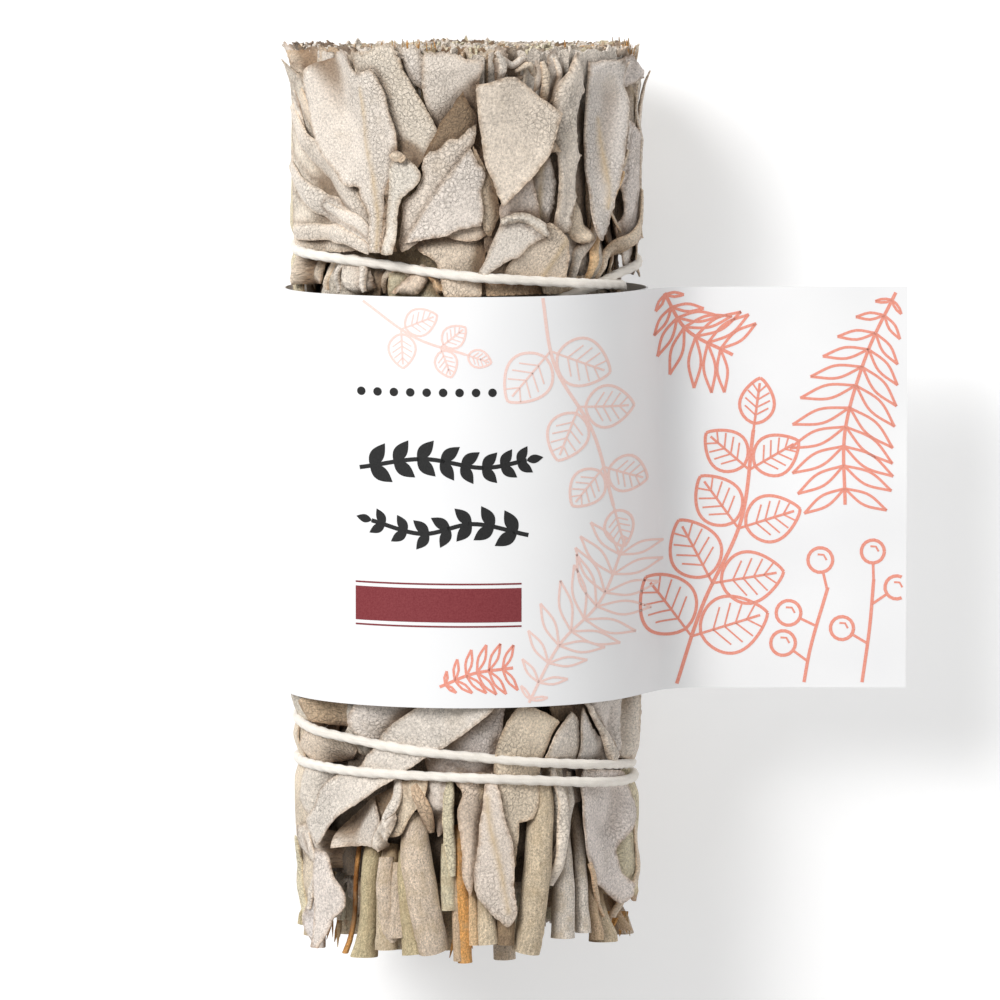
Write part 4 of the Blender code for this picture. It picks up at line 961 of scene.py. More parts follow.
def lay_zone(pile, pieces, zone):
    """The leaves of one zone. Every fifth is a short one."""
    for k in range(RULE_LEAVES):
        angle = zone.start + (k * GOLDEN % 1.0) * zone.span + rng.uniform(-4, 4)
        kind = rng.choice(zone.kinds)
        narrow = kind == "fold"
        width = rng.uniform(*(zone.narrow if narrow else zone.wide))
        most = zone.turn_narrow if narrow else zone.turn_wide
        turned = rng.uniform(-most, most)
        if k % 5 == 4:
            base = (angle, rng.uniform(*zone.short_foot))
            tip = (angle + 1.3 * turned, rng.uniform(*zone.short_tip))
        else:
            base = (angle, rng.uniform(*zone.foot))
            tip = (angle + turned, zone.tip())
        if narrow:
            lay_rule_strip(pile, pieces, base, tip, 0.95 * width, rng.choice(PLAIN), kind)
            continue
        shape, bow = rng.choice(zone.shapes), rng.uniform(-zone.bow, zone.bow)
        outline, rib = leaf_outline(base, tip, width, shape, bow)
        lay_leaf(pile, pieces, outline, rng.choice(zone.looks), kind, rib if rng.random() < 0.4 else ())


def lay_rule_leaves(pile, pieces):
    """Leaves all round below the ones that show, and over the sides and the back."""
    for k in range(PADS):
        angle = k * 360 / PADS + rng.uniform(-3, 3)
        outline, _ = leaf_outline((angle, 16.0), (angle + rng.uniform(-8, 8), 59.0), 10.5, "strap", 0.5)
        lay_leaf(pile, pieces, outline, rng.choice(PLAIN), "soft", shade=0.8)
    for k in range(PADS):
        angle = k * 360 / PADS + rng.uniform(-3, 3)
        tip = (angle + rng.uniform(-8, 8), -34.0 - rng.uniform(0, 8) * (80 < angle < 280))
        outline, _ = leaf_outline((angle, -13.0), tip, 9.5, "strap", 0.4)
        lay_leaf(pile, pieces, outline, rng.choice(PLAIN), "soft", shade=0.75)
    lay_zone(pile, pieces, TOP_ZONE)
    lay_zone(pile, pieces, LOW_ZONE)


def lay_front_leaves(pile, pieces, leaves):
    for leaf in leaves:
        if isinstance(leaf, Strip):
            run = [seen_from_front(pixel) for pixel in leaf.path]
            lay_strip(pile, pieces, run, leaf.width * PIXEL, leaf.look, leaf.form)
            continue
        outline = np.array([seen_from_front(pixel) for pixel in leaf.outline])
        rib = np.array([seen_from_front(pixel) for pixel in leaf.rib])
        lay_leaf(pile, pieces, outline, leaf.look, leaf.form, rib)


def rod(piece, path, radii, look, sides=26, grooves=0.035, laid=False):
    """A woody stem along points, grooved along its length, with cut ends."""
    path = np.asarray(path, float)
    steps = np.linspace(0, len(path) - 1, 4 * (len(path) - 1) + 1)
    centre = read_off(path, range(len(path)), steps)
    radius = np.interp(steps, range(len(path)), np.broadcast_to(radii, len(path)))
    groove = np.tile(noise_rng.normal(0, 1, sides), 3)
    groove = np.convolve(groove, np.ones(3) / 3, "same")[sides : 2 * sides]
    tint = linear(look, rng.uniform(0.92, 1.05))
    places, tones, local = [], [], []
    length = run_of(centre)
    key = texture_key()
    wood, pith = linear("tan", 0.8), linear("pale", 0.85)
    turn = 2 * math.pi * (np.arange(sides) / sides + 0.5)

    def ring(k, share, sunk, colour):
        way = centre[min(k + 1, len(centre) - 1)] - centre[max(k - 1, 0)]
        way /= np.linalg.norm(way)
        side = np.cross(way, [0.0, 0.3, 1.0])
        side /= np.linalg.norm(side)
        up = np.cross(side, way)
        wander = np.roll(groove, round(2.5 * math.sin(0.5 * k + key)))
        wide = radius[k] * share * (1 + grooves * wander + 0.02 * noise_rng.normal(0, 1, sides))
        out = np.cos(turn)[:, None] * up + np.sin(turn)[:, None] * side
        places.append(centre[k] + way * sunk + wide[:, None] * out)
        tones.append(np.tile(np.append(colour, 0.0), (sides, 1)))
        local.append(np.stack([np.full(sides, length[k]), turn * radius[k], np.full(sides, key)], 1))

    last = len(centre) - 1
    for share, colour in ((0.3, pith), (0.55, wood), (0.9, wood)):
        ring(0, share, 0.12 * (1 - share) + noise_rng.normal(0, 0.05), colour)
    for k in range(last + 1):
        ring(k, 1.0, 0.0, tint)
    for share, colour in ((0.9, wood), (0.55, wood), (0.3, pith)):
        ring(last, share, -0.12 * (1 - share) + noise_rng.normal(0, 0.05), colour)
    faces = tube_faces(len(places), sides)
    # Laid stems take a small share of the painted shadow beside leaf margins
    piece.add(np.concatenate(places), faces, np.concatenate(tones), np.concatenate(local), BARK, 0.3 * laid)


def lay_stems(pile, pieces):
    """The woody stems at the lower end, sunk among the leaves, and their traces on the pile."""
    stems = []
    for stem in FRONT_STEMS:
        top, foot = np.array(seen_from_front(stem.top)), np.array(seen_from_front(stem.foot))
        stems.append((top, foot, stem.thick, stem.look))
    for k in range(BACK_STEMS):
        angle = 98 + k * 166 / (BACK_STEMS - 1) + rng.uniform(-2, 2)
        foot = np.array([angle * TO_LENGTH, rng.uniform(-53.0, -49.5)])
        top = foot + np.array([rng.uniform(-1.2, 1.2), rng.uniform(12, 22)])
        thick = rng.uniform(2.0, 3.6)
        stems.append((top, foot, thick, rng.choice(("bark", "barkgrey", "barkgreen", "pale"))))
    for top, foot, thick, look in stems:
        shares = np.array([0.0, 0.35, 0.7, 1.0])
        line = foot + (top - foot) * shares[:, None]
        level = RADIUS - 0.35 - thick / 2 - np.array([0.0, 0.15, 0.5, 1.2])
        path = np.column_stack([line, level])
        radii = [thick / 2 * s for s in (1.03, 1.0, 0.97, 0.95)]
        rod(pieces[owner_of(foot[0])], path, radii, look, laid=True)
        cells = foot + (top - foot) * np.linspace(0, 1, 120)[:, None]
        for side in np.linspace(-0.95, 0.95, 15):
            over = np.interp(np.linspace(0, 1, 120), shares, level) + thick / 2 * math.sqrt(1 - side**2)
            np.maximum.at(pile.level, cells_of(cells[:, 0] + side * thick / 2, cells[:, 1]), over)


def lay_late_stems(pile, pieces):
    """Stems that lie over the leaves, sunk a little into them."""
    for stem in LATE_STEMS:
        top, foot = np.array(seen_from_front(stem.top)), np.array(seen_from_front(stem.foot))
        shares = np.array([0.0, 0.12, 0.4, 0.7, 1.0])
        line = foot + (top - foot) * shares[:, None]
        below = pile.at(line[:, 0], line[:, 1])
        over = max(below[1:3].max(), RADIUS - 0.6)
        level = np.interp(shares, (0, 0.25, 1), (over - 1.3, over - 0.5, RADIUS - 1.6))
        radii = [stem.thick / 2 * s for s in (1.02, 1, 1, 1, 0.9)]
        rod(pieces[owner_of(foot[0])], np.column_stack([line, level]), radii, stem.look, laid=True)


# Where torn fibres stand across the two ends, from and to which place along, and how many
TOP_SPLINTERS = (((-11.6, -1.4), (3.9, 15.2), (-11, -3), (18, 20)), 52.4, 56.2, 90)
LOW_SPLINTERS = (((-16, -14.6), (-1.6, 0.4), (17, 19.5)), -49.0, -52.2, 24)


def splinters(pieces, spots, low, high, count):
    """Torn wood fibres at a cut end. Spots are ranges across, in X."""
    for _ in range(count):
        left, right = rng.choice(spots)
        x = rng.uniform(left, right)
        radius = rng.uniform(16.5, 19.3)
        z = math.sqrt(max(radius * radius - x * x, 1.0))
        angle = math.atan2(x, z)
        foot = np.array([x, low, AXIS_HEIGHT + z])
        reach = rng.uniform(0.5, 1.0) * (high - low)
        tip = foot + np.array([rng.uniform(-0.8, 0.8), reach, rng.uniform(-0.3, 0.5)])
        wide = rng.uniform(0.08, 0.28)
        side = np.array([wide, 0, 0.3 * wide])
        up = np.array([0, 0, 0.12])
        middle = (foot + tip) / 2
        places = [foot - side, foot + side, foot + up, middle - side, middle + side * 0.9, middle + up,
                  tip - side * 0.2, tip + side * 0.2, tip + up * 0.3]
        tint = np.append(linear(rng.choice(("orange", "tan", "brown", "orange")), rng.uniform(0.5, 0.85)), 0)
        local = np.column_stack([np.array(places)[:, 1], np.array(places)[:, 0], np.full(9, x)])
        pieces[owner_of(angle * RADIUS)].add(places, tube_faces(3, 3), np.tile(tint, (9, 1)), local, BARK)


def wall(piece, line, low, high, look, shade):
    """A leaf that stands on edge at an end of the bundle and leans inwards at its foot.

    Its line is its way across, in X and Z from the axis, and it is painted darkest at its foot, as shade
    deep in the cut end."""
    line = np.asarray(line, float)
    n, rows = len(line), 5
    side = across_of(np.gradient(line, axis=0))
    length = run_of(line)
    cut = high + 0.22 * noise_rng.normal(0, 1, n)
    places, local = [], []
    key = texture_key()
    for out in (-BLADE / 2, BLADE / 2):
        for r in range(rows):
            share = r / (rows - 1)
            shift = 0.25 * math.sin(3 * share + key) * side
            at = (line + side * out + shift) * (1 - WALL_LEAN * (1 - share) ** 2)
            along = low + (cut - low) * share
            places.append(np.stack([at[:, 0], along, AXIS_HEIGHT + at[:, 1]], 1))
            local.append(np.stack([along, length, np.full(n, key)], 1))
    tint = np.append(linear(look, shade * rng.uniform(0.85, 1.05)), 0.0)
    tone = np.tile(tint, (2 * rows * n, 1))
    # Painted shade: darker towards the foot, deep inside the cut end
    tone[:, :3] *= np.tile(np.repeat(np.linspace(0.1, 1, rows) ** 0.7, n), 2)[:, None]
    piece.add(np.concatenate(places), sheet_faces(rows, n, False), tone, np.concatenate(local))


def middles(edges):
    """The angles halfway between edges round the bundle."""
    return [(low + high) / 2 for low, high in zip(edges, edges[1:] + (edges[0] + 360,))]


def fill_ends(outer, inner):
    """The cut ends: every leafy stem's wood with its own leaves curled round it."""
    spots = [(OUTER_RING, angle, outer[k]) for k, angle in enumerate(middles(OUTER_EDGES))]
    spots += [(INNER_RING, angle, inner[k]) for k, angle in enumerate(middles(INNER_EDGES))]
    spots.append((0.0, 0.0, inner[6]))
    centres = np.array([(r * math.sin(math.radians(a)), r * math.cos(math.radians(a))) for r, a, _ in spots])
    centres += noise_rng.uniform(-1.1, 1.1, centres.shape)
    for own, (_, _, target) in enumerate(spots):
        centre = centres[own]
        flatten = rng.uniform(0, math.pi)
        for radius in np.arange(1.7, 6.4, 0.66):
            done, start = 0.0, rng.uniform(0, 2 * math.pi)
            while done < 2 * math.pi:
                turn = rng.uniform(2.2, 7.0) / radius
                crinkle = Waves(2.2)
                at = start + done + np.linspace(0, turn, max(6, round(turn * radius / 0.42)))
                reach = radius + 0.4 * crinkle.along(at * radius) + rng.uniform(-0.2, 0.2)
                reach = reach * (1 + 0.32 * np.cos(2 * (at - flatten)))
                line = centre + np.stack([reach * np.sin(at), reach * np.cos(at)], 1)
                away = np.hypot(*(line[:, None] - centres[None]).transpose(2, 0, 1))
                kept = (away.argmin(1) == own) & (np.hypot(*line.T) < WALL_REACH)
                done += turn + 0.35 / radius
                runs = np.split(np.arange(len(line)), np.flatnonzero(np.diff(kept.astype(int))) + 1)
                for run in runs:
                    if len(run) < 4 or not kept[run[0]]:
                        continue
                    look = rng.choice(("grey", "warm", "pale", "grey", "brown", "green"))
                    top = LEAFY_END - 0.15 + rng.uniform(-1.1, 0.25)
                    wall(target, line[run], WALL_FOOT, top, look, 0.85)
                    if rng.random() < 0.7:
                        inward = min(1.0, LOW_WALL_REACH / np.hypot(*line[run].T).max())
                        wall(target, line[run] * inward, -42.0, rng.uniform(-49.5, -44.5), look, 0.7)
        x, z = centre[0], AXIS_HEIGHT + centre[1]
        thick = rng.uniform(2.4, 3.4)
        rod(target, [(x, 44.0, z), (x, rng.uniform(53.9, 55.2), z)], thick / 2 * 0.8,
            rng.choice(("tan", "orange", "bark")))
        rod(target, [(x + 0.3, rng.uniform(-53.0, -50.0), z), (x, -40.0, z)], thick / 2,
            rng.choice(("bark", "barkgrey")))
    count = 22
    for radius in (17.6, 18.4, 19.1):
        start, done = rng.uniform(0, 360), 0.0
        while done < 350:
            turn = math.degrees(rng.uniform(5, 11) / radius)
            crinkle = Waves(3.0)
            at = np.radians(start + done + np.linspace(0, turn, count))
            reach = radius + 0.35 * crinkle.along(at * radius)
            reach = reach + 0.35 * np.linspace(-1, 1, count)
            line = np.stack([reach * np.sin(at), reach * np.cos(at)], 1)
            target = outer[owner_of(at[count // 2] * RADIUS)]
            look = rng.choice(("grey", "warm", "pale", "grey"))
            top = LEAFY_END - 0.1 + rng.uniform(-0.7, 0.25)
            wall(target, line, WALL_FOOT, top, look, 0.9)
            done += turn + 1.5


def core_piece(piece):
    """The pressed inside, painted dark as shade, that shows only through gaps."""
    angles = np.linspace(0, 2 * math.pi, 120, endpoint=False)
    along = np.linspace(-43.5, 52.5, 90)
    bumps = Waves(3.0)
    grid = grid_of(angles, along)
    reach = CORE_RADIUS + 0.5 * bumps(np.stack([grid[..., 0] * RADIUS, grid[..., 1]], -1))
    across, height = reach * np.sin(grid[..., 0]), AXIS_HEIGHT + reach * np.cos(grid[..., 0])
    places = np.stack([across, grid[..., 1], height], -1)
    n, m = len(angles), len(along)
    faces = []
    for a in range(n):
        for b in range(m - 1):
            c = (a + 1) % n
            faces.append((a * m + b, a * m + b + 1, c * m + b + 1, c * m + b))
    faces.append(tuple(a * m for a in range(n)))
    faces.append(tuple(a * m + m - 1 for a in range(n))[::-1])
    # Painted shade: a dark sheet where only shade between the leaves shows
    tone = np.tile(np.append(linear("dark", 0.4), 0.0), (n * m, 1))
    local = np.stack([grid[..., 1].ravel(), grid[..., 0].ravel() * RADIUS, 0 * grid[..., 0].ravel()], 1)
    piece.add(places.reshape(-1, 3), faces, tone, local)


def string_levels(pile, angle, along):
    """How high the string lies over the pile, lifted where it goes over itself."""
    lengths = angle * TO_LENGTH
    level = np.zeros(len(angle))
    for side in (-0.5, 0, 0.5):
        level = np.maximum(level, pile.at(lengths, along + side))
    level = running(running(running(level, 4, True), 9), 7) + STRING_THICK / 2 - 0.3
    over = np.zeros(len(angle))
    for k in range(len(angle)):
        before = slice(0, max(k - SAME_TURN, 0))
        apart = np.abs(wrap(angle[k] - angle[before])) * TO_LENGTH
        near = apart < 4
        if near.any():
            distance = np.hypot(apart[near], along[k] - along[before][near]).min()
            over[k] = STRING_THICK * 0.95 * smooth_step((2.2 - distance) / 1.2)
    return level + running(over, 5)


def twisted(piece, path, thick, sides=18):
    """A twisted cotton string along points in space."""
    path = np.asarray(path, float)
    length = run_of(path)
    at = np.arange(0, length[-1], 0.34)
    centre = read_off(path, length, at)
    way = np.gradient(centre, axis=0)
    way /= np.linalg.norm(way, axis=1)[:, None]
    out = centre - np.array([0, 0, AXIS_HEIGHT])
    out[:, 1] = 0
    out += np.array([1e-6, 0, 1e-6])
    out -= way * (out * way).sum(1)[:, None]
    out /= np.linalg.norm(out, axis=1)[:, None]
    across = np.cross(way, out)
    turn = 2 * math.pi * np.arange(sides) / sides
    twist = 2 * math.pi * at / STRING_PITCH
    lumps = np.convolve(noise_rng.normal(0, 1, len(at) + 8), np.ones(9) / 9, "valid")
    wide = thick / 2 * (0.88 + 0.2 * np.abs(np.cos(STRANDS / 2 * (turn[None] - twist[:, None]))))
    wide = wide * (1 + 0.10 * lumps[:, None]) * (1 + 0.02 * noise_rng.normal(0, 1, wide.shape))
    wide[0] *= 0.55
    wide[-1] *= 0.55
    places = centre[:, None] + wide[..., None] * (
        np.cos(turn)[None, :, None] * out[:, None] + np.sin(turn)[None, :, None] * across[:, None]
    )
    around = np.tile(turn, len(at)) - np.repeat(twist, sides)
    local = np.stack([np.repeat(at, sides), around, 0 * around], 1)
    piece.add(places.reshape(-1, 3), tube_faces(len(at), sides), np.ones((len(local), 4)), local)
    return centre, out, across


def fuzz(piece, centre, out, across, count):
    """Loose cotton fibres that stand off the string."""
    for _ in range(count):
        k = rng.randrange(2, len(centre) - 6)
        turn = rng.uniform(-1.9, 1.9)
        side = math.cos(turn) * out[k] + math.sin(turn) * across[k]
        start = centre[k] + side * STRING_THICK * 0.45
        way = side * rng.uniform(0.2, 0.6) + (centre[k + 3] - centre[k]) * rng.uniform(-0.7, 0.9)
        bend = across[k] * rng.uniform(-0.35, 0.35)
        places = []
        for share in (0, 0.33, 0.66, 1.0):
            middle = start + way * share + bend * share * share
            for a in range(3):
                around = math.cos(2.1 * a) * across[k] + math.sin(2.1 * a) * out[k]
                places.append(middle + around * 0.014 * (1.15 - share))
        faces = [(0, 1, 2), (11, 10, 9)]
        for r in range(3):
            for a in range(3):
                b = (a + 1) % 3
                faces.append((3 * r + a, 3 * r + 3 + a, 3 * r + 3 + b, 3 * r + b))
        piece.add(places, faces, np.ones((12, 4)), np.zeros((12, 3)))


def make_string(pile, look):
    piece = Piece("cotton_string")
    angle, along = string_line()
    level = string_levels(pile, angle, along)
    path = pile.in_space(angle * TO_LENGTH, along, level)
    path[:, 2] = np.maximum(path[:, 2], 0.12 + STRING_THICK / 2)
    centre, out, across = twisted(piece, path, STRING_THICK)
    fuzz(piece, centre, out, across, LOOSE_FIBRES)
    top = float(pile.at(KNOT[0] * TO_LENGTH, KNOT[1])) + 0.9
    loops = []
    for t in np.linspace(0, 2 * math.pi * 1.35, 30):
        angle, along = KNOT[0] + 3.4 * math.cos(t), KNOT[1] + 0.75 * math.sin(1.5 * t)
        loops.append(pile.in_space(angle * TO_LENGTH, along, top + 0.5 * math.sin(t)))
    twisted(piece, loops, STRING_THICK)
    for tail in TAILS:
        places = np.array(tail, float)
        shares = np.linspace(0, len(tail) - 1, 16)
        turn = np.interp(shares, range(len(tail)), places[:, 0])
        line = np.interp(shares, range(len(tail)), places[:, 1])
        levels = pile.at(turn * TO_LENGTH, line) + STRING_THICK * 0.6
        levels = np.convolve(np.pad(levels, 2, "edge"), np.ones(5) / 5, "valid")
        twisted(piece, pile.in_space(turn * TO_LENGTH, line, levels), STRING_THICK * 0.95)
    return piece.build([look], 75)


# The paper sleeve: its thickness, the angles where it starts under the overlap and where it
# leaves the bundle, the step between its points, and its free end's reach, height and bend
PAPER_THICK = 0.2
SEAM = 40.0
TURN_STEP = 2.0
FLAG_LEAVES_AT = 64.0
FLAG_REACH = 52.9
FLAG_HEIGHT = 20.5
FLAG_BEND = 6.0


def sleeve_way():
    """The outer face's line round the bundle and out along the free end: X, Z and normal."""
    places, normals = [], []
    for angle in np.arange(SEAM, 360 + FLAG_LEAVES_AT + 0.1, TURN_STEP):
        turn = math.radians(angle)
        under = 0.24 * (1 - smooth_step((angle - FLAG_LEAVES_AT) / 24))
        radius = SLEEVE_RADIUS - under
        height = max(AXIS_HEIGHT + radius * math.cos(turn), 0.0)
        places.append((radius * math.sin(turn), height))
        normals.append((math.sin(turn), math.cos(turn)))
    lean = math.radians(FLAG_LEAVES_AT)
    start = np.array(places[-1])
    drop = start[1] - FLAG_HEIGHT - 0.2
    straight = (drop - FLAG_BEND * (1 - math.cos(lean))) / math.sin(lean)
    way = np.array([math.cos(lean), -math.sin(lean)])
    for share in (0.33, 0.66, 1.0):
        places.append(tuple(start + way * straight * share))
        normals.append((math.sin(lean), math.cos(lean)))
    corner = start + way * straight
    for step in range(1, 13):
        left = lean * (1 - step / 12)
        places.append((corner[0] + FLAG_BEND * (math.sin(lean) - math.sin(left)),
                       corner[1] - FLAG_BEND * (math.cos(left) - math.cos(lean))))
        normals.append((math.sin(left), math.cos(left)))
    last = places[-1]
    for x in np.linspace(last[0], FLAG_REACH, 24)[1:]:
        places.append((x, last[1]))
        normals.append((0.0, 1.0))
    return np.array(places), np.array(normals)


WAY, NORMALS = sleeve_way()
FREE_FROM = round((360 + FLAG_LEAVES_AT - SEAM) / TURN_STEP)
paper_waves = Waves(22.0, 5)


def on_paper(k, along, lift):
    """A point of the sleeve: k counts the way's points, and may lie between two."""
    k = np.asarray(k, float)
    place, normal = (read_off(line, range(len(WAY)), k) for line in (WAY, NORMALS))
    free = smooth_step((k - FREE_FROM) / 20)
    wave = 0.30 * free * paper_waves(np.stack([place[..., 0], np.asarray(along) + 0 * k], -1))
    moved = place + normal * (np.asarray(lift) + wave)[..., None]
    return np.stack([moved[..., 0], np.asarray(along) + 0 * k, moved[..., 1]], -1)


def from_front(x):
    """Which point of the sleeve's way shows at a place across, seen from the front."""
    first = round((270 - SEAM) / TURN_STEP) + 1
    return np.interp(x, WAY[first:, 0], np.arange(first, len(WAY)))


def make_sleeve(look):
    piece = Piece("paper_sleeve_sheet")
    rows = np.linspace(SLEEVE_LOW, SLEEVE_HIGH, 33)
    n, m = len(WAY), len(rows)
    k, along = np.meshgrid(np.arange(n), rows, indexing="ij")
    outer = on_paper(k, along, 0.0 * k)
    inner = on_paper(k, along, -PAPER_THICK + 0.0 * k)
    inner[..., 2] = np.maximum(inner[..., 2], PAPER_THICK * (inner[..., 2] < 1.0))
    places = np.concatenate([outer.reshape(-1, 3), inner.reshape(-1, 3)])
    local = np.tile(np.stack([k.ravel(), along.ravel(), 0 * k.ravel()], 1), (2, 1))
    piece.add(places, sheet_faces(n, m, False), np.ones((len(places), 4)), local)
    return piece.build([look], 35)


class Ink:
    """Printed lines and areas, as thin layers on the sleeve. Places are seen from the front."""

    def __init__(self, name):
        self.piece = Piece(name)

    def strip(self, line, width):
        """A line of a width in millimetres through points (across, along)."""
        line = np.asarray(line, float)
        length = run_of(line)
        line = read_off(line, length, np.linspace(0, length[-1], max(3, round(length[-1] / 0.5))))
        side = across_of(np.gradient(line, axis=0))
        self.band(line - side * width / 2, line + side * width / 2)

    def band(self, left, right):
        """The area between two lines of as many points each."""
        middle, reach = (SLEEVE_LOW + SLEEVE_HIGH) / 2, 24.0
        keep = np.ones(len(left), bool)
        for line in (left, right):
            keep &= (np.abs(line[:, 1] - middle) < reach) & (line[:, 0] < FLAG_REACH - 0.3)
        left, right = left[keep], right[keep]
        n = len(left)
        if n < 2:
            return
        places = []
        for lift in (0.012, 0.03):
            for line in (left, right):
                places.append(on_paper(from_front(line[:, 0]), line[:, 1], np.full(n, lift)))
        faces = []
        for k in range(n - 1):
            for a, b in ((0, 1), (1, 3), (3, 2), (2, 0)):
                faces.append((a * n + k, b * n + k, b * n + k + 1, a * n + k + 1))
        faces += [(0, 2 * n, 3 * n, n), (n - 1, 2 * n - 1, 4 * n - 1, 3 * n - 1)]
        self.piece.add(np.concatenate(places), faces, np.ones((4 * n, 4)), np.zeros((4 * n, 3)))

    def build(self, look):
        return self.piece.build([look], 35)


def pointing(turn):
    """A step of length 1 that way."""
    return np.array([math.cos(turn), math.sin(turn)])


def on_twig(way, share):
    """The place at a share of a twig's length, and which way the twig points there."""
    i = min(int(share * (len(way) - 1)), len(way) - 2)
    ahead = way[i + 1] - way[i]
    return way[i], math.atan2(ahead[1], ahead[0])


def round_leaf(ink, foot, turn, length, width, line):
    """A line drawing of a round leaf on a short stalk."""
    way, side = pointing(turn), pointing(turn + math.pi / 2)
    share = np.linspace(0, 1, 30)
    half = width / 2 * np.sin(math.pi * share**0.8) ** 0.75
    for sign in (-1, 1):
        ink.strip(foot + way * length * (0.12 + 0.88 * share[:, None]) + sign * side * half[:, None], line)
    ink.strip([foot, foot + way * length * 0.9], line * 0.8)
    for at in np.linspace(0.3, 0.8, 4):
        reach = width / 2 * math.sin(math.pi * at**0.8) ** 0.75 * 0.72
        for sign in (-1, 1):
            start = foot + way * length * (0.12 + 0.88 * at - 0.1)
            end = foot + way * length * (0.12 + 0.88 * at + 0.06) + sign * side * reach
            ink.strip([start, end], line * 0.55)


def branch(ink, points, leaves, length, width, line):
    """A curved twig with pairs of round leaves and one at its tip."""
    way = curve(points)
    ink.strip(way, line)
    for k in range(leaves):
        share = (k + 1) / (leaves + 0.6)
        foot, turn = on_twig(way, share)
        size = 1.0 - 0.4 * share
        for out in (-0.95, 0.95):
            round_leaf(ink, foot, turn + out, length * size, width * size, line * 0.85)
    round_leaf(ink, way[-1], on_twig(way, 1.0)[1], length * 0.6, width * 0.55, line * 0.85)


def frond(ink, points, blades, length, line):
    """A fern frond: slim blades on both sides of a curved rib."""
    way = curve(points)
    ink.strip(way, line)
    for k in range(blades):
        share = (k + 0.6) / (blades + 0.4)
        foot, turn = on_twig(way, share)
        reach = length * math.sin(math.pi * (0.16 + 0.84 * (1 - share)) ** 0.9) ** 0.8 + 0.8
        for out in (turn - 1.05, turn + 1.05):
            tip = foot + reach * pointing(out)
            side = 0.12 * reach * pointing(out + math.pi / 2)
            for bulge in (side, -side):
                ink.strip(curve([foot, (foot + tip) / 2 + bulge, tip], 8), line * 0.8)


def berries(ink, points, spots, size, line):
    """A twig with round berries on stalks."""
    way = curve(points)
    ink.strip(way, line)
    for share, turn in spots:
        foot = on_twig(way, share)[0]
        stalk = foot + 2.2 * pointing(turn)
        ink.strip([foot, stalk], line * 0.8)
        centre = stalk + size * pointing(turn)
        around = np.array([pointing(t) for t in np.linspace(0, 2 * math.pi, 26)])
        ink.strip(centre + size * around, line)
        ink.strip(centre + 0.5 * size * around[:9], line * 0.6)


def solid_sprig(ink, points, leaves, length, width):
    """A twig with solid leaves in pairs that get smaller towards its tip."""
    way = curve(points)
    ink.strip(way, 0.5)
    for k in range(leaves):
        share = (k + 0.5) / leaves
        foot, turn = on_twig(way, share)
        size = 1.0 - 0.35 * share
        for out in (-0.8, 0.8):
            blade(ink, foot, turn + out, length * size, width * size)
    blade(ink, way[-1], on_twig(way, 1.0)[1], length * 0.6, width * 0.6)


def blade(ink, foot, turn, length, width):
    """A solid leaf, pointed at both ends."""
    share = np.linspace(0, 1, 16)[:, None]
    way = pointing(turn)
    half = width / 2 * np.sin(math.pi * share**0.85) * pointing(turn + math.pi / 2)
    ink.band(foot + way * length * share - half, foot + way * length * share + half)


def print_sleeve(looks):
    """The sleeve's plain band, dark sprigs and coral line sprigs."""
    names = ("print_coral", "print_blush", "print_band", "print_sprig")
    coral, blush, red, black = (Ink(name) for name in names)
    branch(coral, ((25, -22.5), (28.5, -12), (33, -2), (34.5, 9)), 4, 10.5, 7.6, 0.44)
    frond(coral, ((51.5, 25.5), (48, 18), (45.5, 9), (45.5, 0)), 11, 6.4, 0.4)
    berries(coral, ((40.5, -22.5), (41.5, -17), (43.5, -10)), ((0.35, 2.5), (0.7, 2.7), (1.0, 1.8)),
            1.5, 0.4)
    frond(coral, ((23.5, 26), (26.5, 21), (32, 18)), 7, 5.4, 0.42)
    berries(coral, ((47.5, -22.5), (48.5, -15), (49, -9)), ((0.4, 2.6), (0.75, 0.6), (1.0, 1.6)), 1.4, 0.4)
    branch(blush, ((9, 26.5), (10.5, 18), (15, 10), (17.5, 1)), 3, 8.6, 6.4, 0.38)
    frond(blush, ((7, -22.5), (11, -15), (16, -10), (19, -3)), 10, 6.0, 0.34)
    branch(blush, ((-12, 25.6), (-6, 21.5), (0, 19.5)), 2, 5.4, 3.8, 0.3)
    frond(coral, ((-3, -19.6), (1, -18.0), (5.6, -17.4)), 6, 2.7, 0.36)
    left, right, bottom, top = -12.9, 6.6, -12.0, -8.0
    across = np.linspace(left, right, 50)
    red.band(np.stack([across, np.full(50, bottom)], 1), np.stack([across, np.full(50, top)], 1))
    for y in (bottom - 0.5, top + 0.5):
        red.strip([(left, y), (right, y)], 0.2)
    solid_sprig(black, ((-12.4, 6.0), (-5, 7.2), (2, 6.2), (7.2, 7.0)), 8, 3.3, 1.7)
    solid_sprig(black, ((7.4, -1.8), (1, -0.4), (-5, -1.6), (-11.0, -0.2)), 7, 3.1, 1.6)
    dot = 0.5 * np.array([pointing(turn) for turn in np.linspace(0, math.pi, 14)])
    for x in np.linspace(-12.2, 3.2, 9):
        black.band(np.array([x, 15.0]) + dot, np.array([x, 15.0]) + dot * (1, -1))
    return [ink.build(look) for ink, look in zip((coral, blush, red, black), looks)]


def shader_of(name, roughness):
    """A new material, its nodes and its shader."""
    made = bpy.data.materials.new(name)
    made.use_nodes = True
    shader = made.node_tree.nodes["Principled BSDF"]
    shader.inputs["Roughness"].default_value = roughness
    shader.inputs["Specular IOR Level"].default_value = 0.25
    return made, Nodes(made.node_tree), shader


